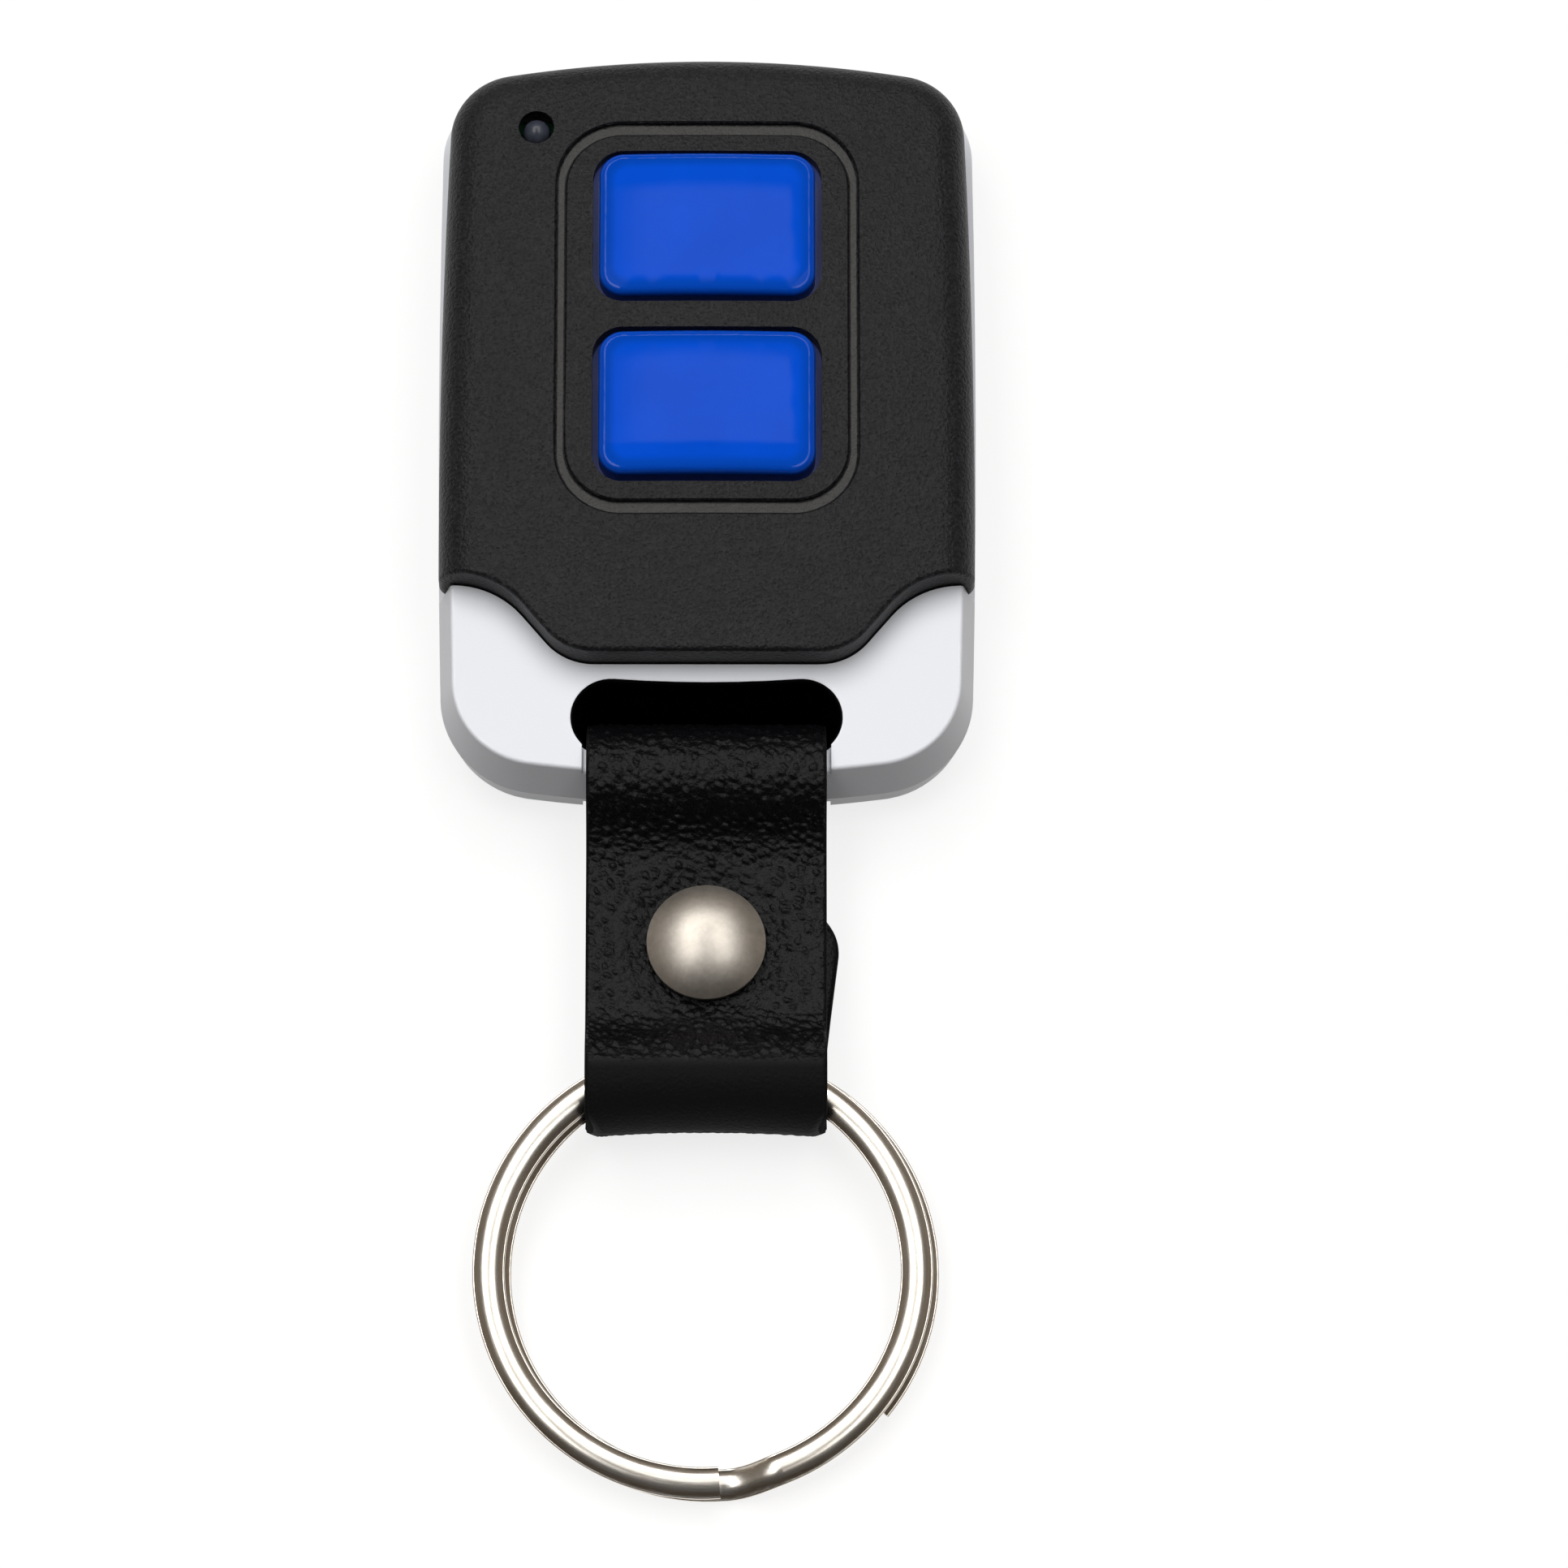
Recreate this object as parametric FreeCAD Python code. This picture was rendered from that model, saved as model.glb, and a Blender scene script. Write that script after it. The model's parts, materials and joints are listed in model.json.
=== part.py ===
# A two-button garage door remote on a riveted leather strap with a split ring.
# Millimetres. The origin is the centre of the remote's flat back, +Z comes out of the button face,
# +Y points to the end with the indicator lamp, and the strap and ring lie towards -Y.
import FreeCAD, Part
import math
import os

V = FreeCAD.Vector

# Housing outline: half widths at three stations along Y, arched ends and round corners
TOP_Y = 25.5
LOW_Y = -25.5
STATION_TOP = 25.0
STATION_MID = -2.0
STATION_LOW = -17.0
HALF_TOP = 17.5
HALF_MID = 17.7
HALF_LOW = 17.45
END_ARCH_R = 88.0
SIDE_RUN_ON = 8.0
TOP_CORNER_R = 4.8
LOW_CORNER_R = 6.6

# Heights from the flat back
PARTING_Z = 3.4
DECK_Z = 7.0
CROWN_Z = 10.1
CROWN_R = 300.0
FLOOR_T = 1.2
BACK_DRAFT = 0.55
BACK_EDGE_R = 1.3
DECK_DRAFT = 0.85
DECK_EDGE_R = 0.25

# Front cover: it stands inside the base outline by a lip that shrinks towards the strap
LIP_TOP = 0.7
LIP_MID = 0.18
LIP_LOW = 0.02
LIP_END = 0.3
COVER_WALL = 1.3
COVER_ROOF = 1.5
COVER_EDGE_R = 2.4
SEAM = 0.06
SEAT_GAP = 0.1

# Rim of the base that stands inside the cover's wall
TONGUE_T = 0.7
TONGUE_H = 1.0

# The stepped lower edge of the cover: flat in the middle, an S on each side
STEP_SIDE_Y = -11.55
STEP_MID_Y = -17.0
STEP_FLAT_X = 7.35
STEP_FOOT_R = 4.0
STEP_SHOULDER_R = 6.0
STEP_ANGLE = 50.0
STEP_EDGE_R = 0.3
STEP_BRINK_DEPTH = 1.0

# Groove round the keypad
GROOVE_MARGIN_X = 2.8
GROOVE_MARGIN_Y = 2.52
GROOVE_DROP = 0.05
GROOVE_R = 4.3
GROOVE_SIDE = 0.58
GROOVE_END = 0.85
GROOVE_DEPTH = 0.35
GROOVE_BRINK = 0.12

# Buttons
BUTTON_W = 14.2
BUTTON_H = 9.95
BUTTON_R = 1.6
BUTTON_PITCH = 12.6
BUTTON_UPPER_Y = 12.5
BUTTON_GAP = 0.42
BUTTON_PROUD = 0.15
DOME_H = 0.95
DOME_EDGE_R = 0.5
DOME_CROWN_R = 80.0
KEY_FLANGE = 0.9
KEY_FLANGE_T = 0.7
KEY_NUB_D = 3.2
KEY_RECESS = 0.3
TRAVEL = 0.3
NUB_CLEAR = 0.05

# Indicator lamp
LAMP_SIDE_INSET = 6.2
LAMP_END_INSET = 5.8
LAMP_HOLE_D = 2.35
LAMP_D = 1.8
LAMP_FLANGE_D = 2.3
LAMP_FLANGE_T = 0.4
LAMP_TOP_Z = 9.0

# Circuit board and battery
BOARD_T = 1.0
BOARD_SIDE_GAP = 0.2
BOARD_END_INSET = 4.1
BOARD_STEP_GAP = 0.35
BOARD_CORNER_R = 2.0
CELL_D = 20.0
CELL_T = 3.2
CELL_CAP_D = 17.6
CELL_CAP_H = 0.5
CELL_EDGE_R = 0.3
CELL_Y = 4.4
SHEET_T = 0.2
CLIP_W = 6.0
CLIP_CLEAR = 0.3
CLIP_RIM = 1.5
CONTACT_W = 5.0
CONTACT_L = 12.0
CONTACT_T = 0.15
CONTACT_R = 1.0
CONTACT_SLOT_L = 6.0
CONTACT_SLOT_W = 1.2
TRACK_INSET = 0.5
TRACK_W = 0.9
TRACK_T = 0.1

# Radio parts on the board; a column is the distance of a row of parts from the board's side edge
RIGHT_COLUMN = 3.95
LEFT_COLUMN = 3.65
ENCODER_Y = -3.6
ENCODER_W = 3.4
ENCODER_L = 4.8
ENCODER_H = 1.3
ENCODER_CHAMFER = 0.2
ENCODER_PITCH = 1.27
ENCODER_LEADS = 4
ENCODER_LEAD_W = 0.42
DOT_D = 0.6
DOT_DEPTH = 0.1
DOT_INSET = 0.7
RESONATOR_Y = 4.6
RESONATOR_W = 3.4
RESONATOR_L = 4.6
RESONATOR_H = 1.1
RESONATOR_R = 0.3
RESONATOR_LID_T = 0.25
RESONATOR_LID_INSET = 0.25
TRANSISTOR_Y = 5.0
TRANSISTOR_W = 1.3
TRANSISTOR_L = 2.9
TRANSISTOR_H = 1.0
TRANSISTOR_CHAMFER = 0.15
TRANSISTOR_PITCH = 1.9
TRANSISTOR_LEAD_W = 0.4
TRANSISTOR_LEAD_L = 0.5
RESISTOR_Y = 1.8
RESISTOR_PITCH = 1.9
RESISTOR_COUNT = 4
RESISTOR_SIZE = (2.0, 1.2, 0.5)
CAPACITOR_Y = 8.6
CAPACITOR_PITCH = 2.0
CAPACITOR_COUNT = 3
CAPACITOR_SIZE = (1.6, 0.9, 0.8)
CHIP_CAP_W = 0.3
CHIP_CAP_PROUD = 0.05

# Tact switches
SWITCH_W = 4.5
SWITCH_H = 1.45
SWITCH_CHAMFER = 0.5
SWITCH_FLOOR_T = 0.3
SWITCH_LEAD_PITCH = 3.0
SWITCH_LEADS = 2
SWITCH_PLATE_T = 0.15
SWITCH_PLATE_INSET = 0.1
SWITCH_PLATE_R = 0.6
PLUNGER_D = 2.3
PLUNGER_FIT = 0.05
PLUNGER_SPARE = 0.15
LEAD_W = 0.6
LEAD_L = 0.7
LEAD_T = 0.15

# Screws: one at the top and one in each lower corner
SCREW_END_INSET = 5.1
SCREW_SIDE_INSET = 4.95
SCREW_STEP_INSET = 3.25
SCREW_D = 1.9
SCREW_L = 6.0
SCREW_HEAD_D = 3.6
SCREW_HEAD_H = 1.1
SCREW_HEAD_R = 0.25
SCREW_SINK = 0.2
SCREW_SLOT_W = 0.5
SCREW_SLOT_L = 2.2
SCREW_SLOT_DEPTH = 0.5
SCREW_HOLE_FIT = 0.15
BOSS_D = 4.0
BOSS_GAP = 0.3
BASE_POST_D = 5.0
BASE_POST_H = 1.2
BOARD_POST_D = 2.0
BOARD_POST_INSET = 1.85
BOARD_POST_YS = (-3.0, 17.0)
BOARD_RIB_D = 1.6
BOARD_RIB_INSET = 2.45
BOARD_RIB_Y = 16.4

# Slot for the strap and the bar beyond it
SLOT_HALF_W = 8.65
SLOT_H = 4.9
SLOT_BAR = 2.1
SLOT_EDGE_R = 0.35
BAR_TOP_Z = 6.6
BAR_LOW_Z = 2.2
BAR_RECESS_HALF_W = 8.1
BAR_EDGE_R = 0.4

# Leather strap
LEATHER_T = 1.1
STRAP_W = 15.6
STRAP_CORNER = 0.85
PLY_GAP = 0.1
BAR_LOOP_R = 2.85
BAR_LOOP_Z = 4.4
RING_LOOP_R = 2.62
RING_LOOP_Y = -44.4
FLOOR_CLEAR = 0.03
BEND_R_UPPER = 5.0
BEND_R_LOWER = 4.0
STACK_Z = 3.95
TAIL_UPPER_END = -40.4
TAIL_LOWER_END = -32.4
TAIL_SKEW = 1.2
TAIL_END_R = 3.5
DISH_D = 11.6
DISH_DEPTH = 0.3
DISH_CLEAR = 0.05

# Rivet
RIVET_Y = -35.7
RIVET_D = 7.7
RIVET_H = 1.9
RIVET_SKIN = 0.4
RIVET_RIM_H = 0.55
RIVET_RIM_R = 0.3
RIVET_POST_D = 3.0
RIVET_POST_WALL = 0.6
RIVET_HOLE_FIT = 0.1
RIVET_FOOT_D = 6.8
RIVET_FOOT_H = 0.9
RIVET_FOOT_R = 0.54
RIVET_BORE_FLOOR = 0.45

# Split ring
RING_D = 29.6
RING_BAND = 2.1
RING_WIRE_T = 1.0
RING_CROWN = 0.38
RING_SIDE = 0.12
RING_TURN_GAP = 0.1
RING_SLIP = 0.4
RING_FRONT_END = -85.5
RING_BACK_END = -39.0
RING_JOGGLE = 17.0
RING_JOGGLE_SECTIONS = 7
RING_END_GAP = 4.25

# Reach of cutting shapes past the object, how far one overshoots a face, and how near counts as the same
FAR = 60.0
OVERCUT = 0.01
SAME = 1e-4

# Worked out from the sizes above
ROOF_Z = CROWN_Z - COVER_ROOF
BOARD_Z = FLOOR_T + SHEET_T + CELL_T + CONTACT_T
BOARD_TOP_Z = BOARD_Z + BOARD_T
SWITCH_TOP_Z = BOARD_TOP_Z + SWITCH_H + SWITCH_PLATE_T
KEY_FLANGE_TOP = ROOF_Z - SEAT_GAP
KEY_FLANGE_LOW = KEY_FLANGE_TOP - KEY_FLANGE_T
PLUNGER_TOP_Z = SWITCH_TOP_Z + TRAVEL + NUB_CLEAR
BUTTON_YS = {"upper": BUTTON_UPPER_Y, "lower": BUTTON_UPPER_Y - BUTTON_PITCH}
GROOVE_W = BUTTON_W + 2 * GROOVE_MARGIN_X
GROOVE_H = BUTTON_PITCH + BUTTON_H + 2 * GROOVE_MARGIN_Y
GROOVE_Y = BUTTON_UPPER_Y - BUTTON_PITCH / 2 - GROOVE_DROP
LAMP_X = LAMP_SIDE_INSET - HALF_TOP
LAMP_Y = TOP_Y - LAMP_END_INSET
WALL_INSET = COVER_WALL + LIP_TOP + SEAT_GAP
BOARD_HALF_W = min(HALF_TOP, HALF_MID, HALF_LOW) - WALL_INSET - TONGUE_T - BOARD_SIDE_GAP
BOARD_TOP_Y = TOP_Y - BOARD_END_INSET
BOARD_LOW_Y = STEP_SIDE_Y + COVER_WALL + BOARD_STEP_GAP
BOARD_POST_X = BOARD_HALF_W - BOARD_POST_INSET
BOARD_RIB_X = BOARD_HALF_W - BOARD_RIB_INSET
RIGHT_X = BOARD_HALF_W - RIGHT_COLUMN
LEFT_X = LEFT_COLUMN - BOARD_HALF_W
SCREW_TOP_Y = TOP_Y - SCREW_END_INSET
SCREW_LOW_X = HALF_LOW - SCREW_SIDE_INSET
SCREW_LOW_Y = STEP_SIDE_Y + SCREW_STEP_INSET
SCREW_PLACES = [(0.0, SCREW_TOP_Y), (-SCREW_LOW_X, SCREW_LOW_Y), (SCREW_LOW_X, SCREW_LOW_Y)]
SLOT_LOW_Y = LOW_Y + SLOT_BAR
SLOT_MID_Y = SLOT_LOW_Y + SLOT_H / 2
BAR_LOOP_Y = LOW_Y + SLOT_BAR / 2
RING_LOOP_Z = RING_LOOP_R + LEATHER_T + FLOOR_CLEAR
STRAP_FRONT_Z = STACK_Z + LEATHER_T * 1.5 + PLY_GAP
STRAP_BACK_Z = STACK_Z - LEATHER_T * 1.5 - PLY_GAP
RIVET_SEAT_Z = STRAP_FRONT_Z - DISH_DEPTH


def save(name, shape):
    """Write one sub-part as its own STEP file."""
    shape.exportStep("parts/" + name + ".step")
    print(name, len(shape.Solids), "solid(s)", round(shape.Volume, 2), "mm3", shape.isValid())


def box(x0, x1, y0, y1, z0, z1):
    """A block between two corners."""
    return Part.makeBox(x1 - x0, y1 - y0, z1 - z0, V(x0, y0, z0))


def rod(x, y, z0, z1, diameter):
    """An upright round bar."""
    return Part.makeCylinder(diameter / 2, z1 - z0, V(x, y, z0))


def rounded_block(x, y, width, height, radius, z0, z1):
    """A block with round upright edges, centred on x, y."""
    block = box(x - width / 2, x + width / 2, y - height / 2, y + height / 2, z0, z1)
    return block.makeFillet(radius, upright_edges(block))


def upright_edges(shape):
    """The straight edges of a shape that run along Z."""
    found = []
    for edge in shape.Edges:
        ends = [vertex.Point for vertex in edge.Vertexes]
        if len(ends) == 2 and abs(ends[0].x - ends[1].x) + abs(ends[0].y - ends[1].y) < SAME:
            found.append(edge)
    return found


def edges_at(shape, z):
    """The edges of a shape that lie wholly at one height."""
    return [edge for edge in shape.Edges
            if abs(edge.BoundBox.ZMin - z) < SAME and abs(edge.BoundBox.ZMax - z) < SAME]


def side_arc(lips):
    """The right side of the outline, drawn in by a lip at each station and run on past both ends."""
    stations = (STATION_TOP, STATION_MID, STATION_LOW)
    halves = (HALF_TOP, HALF_MID, HALF_LOW)
    points = [V(half - lip, y, 0) for half, lip, y in zip(halves, lips, stations)]
    circle = Part.Circle(*points)
    centre = circle.Center
    side = math.copysign(1.0, points[1].x - centre.x)

    def on_side(y):
        return V(centre.x + side * math.sqrt(circle.Radius ** 2 - (y - centre.y) ** 2), y, 0)

    return [on_side(TOP_Y + SIDE_RUN_ON), points[1], on_side(LOW_Y - SIDE_RUN_ON)]


def housing_block(lips, end_inset, z0, z1):
    """The remote's outline as an upright block, drawn in by a lip at each station and at the ends."""
    right = [point + V(0, 0, z0) for point in side_arc(lips)]
    left = [V(-point.x, point.y, z0) for point in right]
    wire = Part.Wire([
        Part.Arc(*right).toShape(),
        Part.makeLine(right[2], left[2]),
        Part.Arc(left[2], left[1], left[0]).toShape(),
        Part.makeLine(left[0], right[0]),
    ])
    height = z1 - z0
    top_arch = Part.makeCylinder(END_ARCH_R, height, V(0, TOP_Y - end_inset - END_ARCH_R, z0))
    low_arch = Part.makeCylinder(END_ARCH_R, height, V(0, LOW_Y + end_inset + END_ARCH_R, z0))
    block = Part.Face(wire).extrude(V(0, 0, height)).common(top_arch).common(low_arch)
    top = [edge for edge in upright_edges(block) if edge.Vertexes[0].Y > 0]
    block = block.makeFillet(TOP_CORNER_R - end_inset, top)
    low = [edge for edge in upright_edges(block) if edge.Vertexes[0].Y < 0]
    return block.makeFillet(LOW_CORNER_R - end_inset, low)


def inset_block(inset, z0, z1):
    """The base outline drawn in evenly."""
    return housing_block((inset, inset, inset), inset, z0, z1)


def outline_wire(inset, z):
    """The base outline drawn in evenly, as a wire at one height."""
    return inset_block(inset, z, z + 1.0).slice(V(0, 0, 1), z + 0.5)[0].translated(V(0, 0, -0.5))


def above_step(offset, z0, z1):
    """Everything on the button side of the cover's stepped edge, drawn in by an offset."""
    angle = math.radians(STEP_ANGLE)
    drop = STEP_SIDE_Y - STEP_MID_Y
    both = STEP_SHOULDER_R + STEP_FOOT_R
    run = both * math.sin(angle) + (drop - both * (1 - math.cos(angle))) / math.tan(angle)
    shoulder = V(STEP_FLAT_X + run, STEP_SIDE_Y - STEP_SHOULDER_R, z0)
    foot = V(STEP_FLAT_X, STEP_MID_Y + STEP_FOOT_R, z0)

    def on_shoulder(turn):
        return shoulder + V(-math.sin(turn), math.cos(turn), 0) * STEP_SHOULDER_R

    def on_foot(turn):
        return foot + V(math.sin(turn), -math.cos(turn), 0) * STEP_FOOT_R

    def mirrored(point):
        return V(-point.x, point.y, point.z)

    right = [
        Part.Arc(on_shoulder(0), on_shoulder(angle / 2), on_shoulder(angle)).toShape(),
        Part.makeLine(on_shoulder(angle), on_foot(angle)),
        Part.Arc(on_foot(angle), on_foot(angle / 2), on_foot(0)).toShape(),
    ]
    left = [edge.mirror(V(0, 0, 0), V(1, 0, 0)) for edge in right]
    corners = [mirrored(on_shoulder(0)), V(-FAR, STEP_SIDE_Y, z0), V(-FAR, FAR, z0), V(FAR, FAR, z0),
               V(FAR, STEP_SIDE_Y, z0), on_shoulder(0)]
    outside = [Part.makeLine(a, b) for a, b in zip(corners, corners[1:])]
    middle = Part.makeLine(on_foot(0), mirrored(on_foot(0)))
    face = Part.Face(Part.Wire(Part.sortEdges(right + [middle] + left + outside)[0]))
    if offset:
        face = face.makeOffset2D(-offset)
    return face.extrude(V(0, 0, z1 - z0))


def borders_slot(edge):
    """Whether an edge lies on the wall of the strap's slot."""
    bound = edge.BoundBox
    inside_x = max(abs(bound.XMin), abs(bound.XMax)) < SLOT_HALF_W + SLOT_BAR / 2
    return inside_x and bound.YMin > LOW_Y + SLOT_BAR / 2 and bound.YMax < SLOT_LOW_Y + SLOT_H + SLOT_BAR / 2


def slot_block(z0, z1):
    """The strap's slot as an upright block: a band that follows the arched end, with round ends."""
    centre = V(0, LOW_Y + END_ARCH_R, 0)
    radius = centre.y - SLOT_MID_Y
    half = SLOT_H / 2
    swing = math.asin((SLOT_HALF_W - SLOT_H / 2) / radius)

    def at(r, turn):
        return V(r * math.sin(turn), centre.y - r * math.cos(turn), z0)

    inner = radius - half
    outer = radius + half
    rise = half * math.tan(swing)
    edges = [
        Part.Arc(at(inner, -swing), at(inner, 0), at(inner, swing)).toShape(),
        Part.Arc(at(inner, swing), at(radius, swing) + V(half, rise, 0), at(outer, swing)).toShape(),
        Part.Arc(at(outer, swing), at(outer, 0), at(outer, -swing)).toShape(),
        Part.Arc(at(outer, -swing), at(radius, -swing) + V(-half, rise, 0), at(inner, -swing)).toShape(),
    ]
    return Part.Face(Part.Wire(edges)).extrude(V(0, 0, z1 - z0))


def base_shell():
    """The silver half: tray, rim, screw and board posts, and the raised deck with the strap's slot."""
    tray = Part.makeLoft([outline_wire(BACK_DRAFT, 0), outline_wire(0, PARTING_Z)], True, True)
    tray = tray.makeFillet(BACK_EDGE_R, edges_at(tray, 0))
    deck = Part.makeLoft([outline_wire(0, PARTING_Z), outline_wire(DECK_DRAFT, DECK_Z)], True, True)
    deck = deck.makeFillet(DECK_EDGE_R, edges_at(deck, DECK_Z))
    deck = deck.cut(above_step(-SEAT_GAP, PARTING_Z, DECK_Z + 1))
    shell = tray.fuse(deck).removeSplitter()

    hollow = inset_block(WALL_INSET + TONGUE_T, FLOOR_T, DECK_Z + 1)
    hollow = hollow.common(above_step(COVER_WALL + SEAT_GAP + TONGUE_T, FLOOR_T, DECK_Z + 1))
    rim_top = PARTING_Z + TONGUE_H
    rim = inset_block(WALL_INSET, FLOOR_T, rim_top)
    rim = rim.common(above_step(COVER_WALL + SEAT_GAP, FLOOR_T, rim_top))
    shell = shell.cut(hollow).fuse(rim.cut(hollow))

    shell = shell.cut(slot_block(-1, DECK_Z + 1))
    mouths = [edge for edge in edges_at(shell, 0) + edges_at(shell, DECK_Z) if borders_slot(edge)]
    shell = shell.makeFillet(SLOT_EDGE_R, mouths)
    for z0, z1 in ((-1, BAR_LOW_Z), (BAR_TOP_Z, DECK_Z + 1)):
        shell = shell.cut(box(-BAR_RECESS_HALF_W, BAR_RECESS_HALF_W, LOW_Y - 1, SLOT_MID_Y, z0, z1))
    bar_edges = [edge for edge in edges_at(shell, BAR_LOW_Z) + edges_at(shell, BAR_TOP_Z)
                 if edge.Length > SLOT_HALF_W]
    shell = shell.makeFillet(BAR_EDGE_R, bar_edges)

    for x, y in SCREW_PLACES:
        shell = shell.fuse(rod(x, y, FLOOR_T, FLOOR_T + BASE_POST_H, BASE_POST_D))
        shell = shell.cut(rod(x, y, -1, SCREW_SINK + SCREW_HEAD_H, SCREW_HEAD_D + 2 * SCREW_HOLE_FIT))
        shell = shell.cut(rod(x, y, -1, FLOOR_T + BASE_POST_H + 1, SCREW_D + 2 * SCREW_HOLE_FIT))
    for y in BOARD_POST_YS:
        for x in (-BOARD_POST_X, BOARD_POST_X):
            shell = shell.fuse(rod(x, y, FLOOR_T, BOARD_Z, BOARD_POST_D))
    return shell.removeSplitter()


def crown(drop):
    """A ball that gives the cover its gentle crown, lowered by a drop."""
    return Part.makeSphere(CROWN_R - drop, V(0, 0, CROWN_Z - CROWN_R))


def past_outline(x, y, half_w, half_h, radius):
    """How far a point lies outside a round-cornered outline about the origin."""
    return math.hypot(max(abs(x) - half_w + radius, 0), max(abs(y) - half_h + radius, 0)) - radius


def borders_groove(edge):
    """Whether an edge lies where a wall of the groove meets the crown."""
    half_w = GROOVE_W / 2
    half_h = GROOVE_H / 2
    ball = V(0, 0, CROWN_Z - CROWN_R)
    middle = edge.valueAt((edge.FirstParameter + edge.LastParameter) / 2)
    if abs((middle - ball).Length - CROWN_R) > SAME:
        return False
    y = middle.y - GROOVE_Y
    outer = past_outline(middle.x, y, half_w, half_h, GROOVE_R)
    inner = past_outline(middle.x, y, half_w - GROOVE_SIDE, half_h - GROOVE_END, GROOVE_R - GROOVE_SIDE)
    return min(abs(outer), abs(inner)) < SAME


def front_cover():
    """The black half: a crowned roof with soft edges, a stepped lower edge, windows and screw bosses."""
    lips = (LIP_TOP, LIP_MID, LIP_LOW)
    body = housing_block(lips, LIP_END, PARTING_Z + SEAM, CROWN_Z + 1).common(crown(0))
    top_face = max(body.Faces, key=lambda face: face.BoundBox.ZMax)
    body = body.makeFillet(COVER_EDGE_R, top_face.OuterWire.Edges)
    body = body.common(above_step(0, 0, CROWN_Z + 1))
    brink = [edge for edge in body.Edges
             if edge.BoundBox.YMax < STEP_SIDE_Y and edge.BoundBox.ZMin > CROWN_Z - STEP_BRINK_DEPTH]
    body = body.makeFillet(STEP_EDGE_R, brink)

    wall_lips = tuple(lip + COVER_WALL for lip in lips)
    hollow = housing_block(wall_lips, LIP_END + COVER_WALL, 0, ROOF_Z)
    hollow = hollow.common(above_step(COVER_WALL, 0, ROOF_Z))
    body = body.cut(hollow)

    for x, y in SCREW_PLACES:
        boss = rod(x, y, FLOOR_T + BASE_POST_H + SEAT_GAP, ROOF_Z, BOSS_D)
        body = body.fuse(boss)
        body = body.cut(rod(x, y, 0, SCREW_SINK + SCREW_HEAD_H + SCREW_L + SEAT_GAP, SCREW_D))
    for x in (-BOARD_RIB_X, BOARD_RIB_X):
        body = body.fuse(rod(x, BOARD_RIB_Y, BOARD_TOP_Z + SEAT_GAP, ROOF_Z, BOARD_RIB_D))
    for y in BUTTON_YS.values():
        body = body.cut(rounded_block(0, y, BUTTON_W + 2 * BUTTON_GAP, BUTTON_H + 2 * BUTTON_GAP,
                                      BUTTON_R + BUTTON_GAP, ROOF_Z - 1, CROWN_Z + 1))
    body = body.cut(rod(LAMP_X, LAMP_Y, ROOF_Z - 1, CROWN_Z + 1, LAMP_HOLE_D))

    groove = rounded_block(0, GROOVE_Y, GROOVE_W, GROOVE_H, GROOVE_R, ROOF_Z, CROWN_Z + 1)
    island = rounded_block(0, GROOVE_Y, GROOVE_W - 2 * GROOVE_SIDE, GROOVE_H - 2 * GROOVE_END,
                           GROOVE_R - GROOVE_SIDE, ROOF_Z, CROWN_Z + 1)
    body = body.cut(groove.cut(island).cut(crown(GROOVE_DEPTH)))
    return body.makeChamfer(GROOVE_BRINK, [edge for edge in body.Edges if borders_groove(edge)])


def case_screws():
    """Three cross-slotted screws, head down in the back of the base."""
    screws = []
    for x, y in SCREW_PLACES:
        head = rod(x, y, SCREW_SINK, SCREW_SINK + SCREW_HEAD_H, SCREW_HEAD_D)
        head = head.makeFillet(SCREW_HEAD_R, edges_at(head, SCREW_SINK))
        shank = rod(x, y, SCREW_SINK + SCREW_HEAD_H, SCREW_SINK + SCREW_HEAD_H + SCREW_L, SCREW_D)
        half = SCREW_SLOT_L / 2
        wide = SCREW_SLOT_W / 2
        depth = SCREW_SINK + SCREW_SLOT_DEPTH
        screw = head.fuse(shank)
        screw = screw.cut(box(x - half, x + half, y - wide, y + wide, 0, depth))
        screw = screw.cut(box(x - wide, x + wide, y - half, y + half, 0, depth))
        screws.append(screw)
    return Part.makeCompound(screws)


def circuit_board():
    """The board, cut round the screw bosses."""
    mid = (BOARD_TOP_Y + BOARD_LOW_Y) / 2
    board = rounded_block(0, mid, 2 * BOARD_HALF_W, BOARD_TOP_Y - BOARD_LOW_Y, BOARD_CORNER_R,
                          BOARD_Z, BOARD_TOP_Z)
    for x, y in SCREW_PLACES:
        board = board.cut(rod(x, y, BOARD_Z - 1, BOARD_TOP_Z + 1, BOSS_D + 2 * BOSS_GAP))
    return board


def loop_antenna():
    """A copper track round three sides of the board, raised a little so that it can be seen."""
    half = BOARD_HALF_W - TRACK_INSET
    y0 = BOARD_POST_YS[0] - BOARD_POST_D
    y1 = SCREW_TOP_Y - BOSS_D
    outer = box(-half, half, y0, y1, BOARD_TOP_Z, BOARD_TOP_Z + TRACK_T)
    inner = box(TRACK_W - half, half - TRACK_W, y0 - 1, y1 - TRACK_W, BOARD_TOP_Z - 1, BOARD_TOP_Z + 1)
    return outer.cut(inner)


def coin_cell():
    """A CR2032 cell: the cup with the smaller cap above it."""
    z0 = FLOOR_T + SHEET_T
    z1 = z0 + CELL_T
    cup = rod(0, CELL_Y, z0, z1 - CELL_CAP_H, CELL_D)
    cup = cup.makeFillet(CELL_EDGE_R, [edge for edge in cup.Edges if edge.Closed])
    return cup.fuse(rod(0, CELL_Y, z1 - 2 * CELL_CAP_H, z1, CELL_CAP_D))


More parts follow.
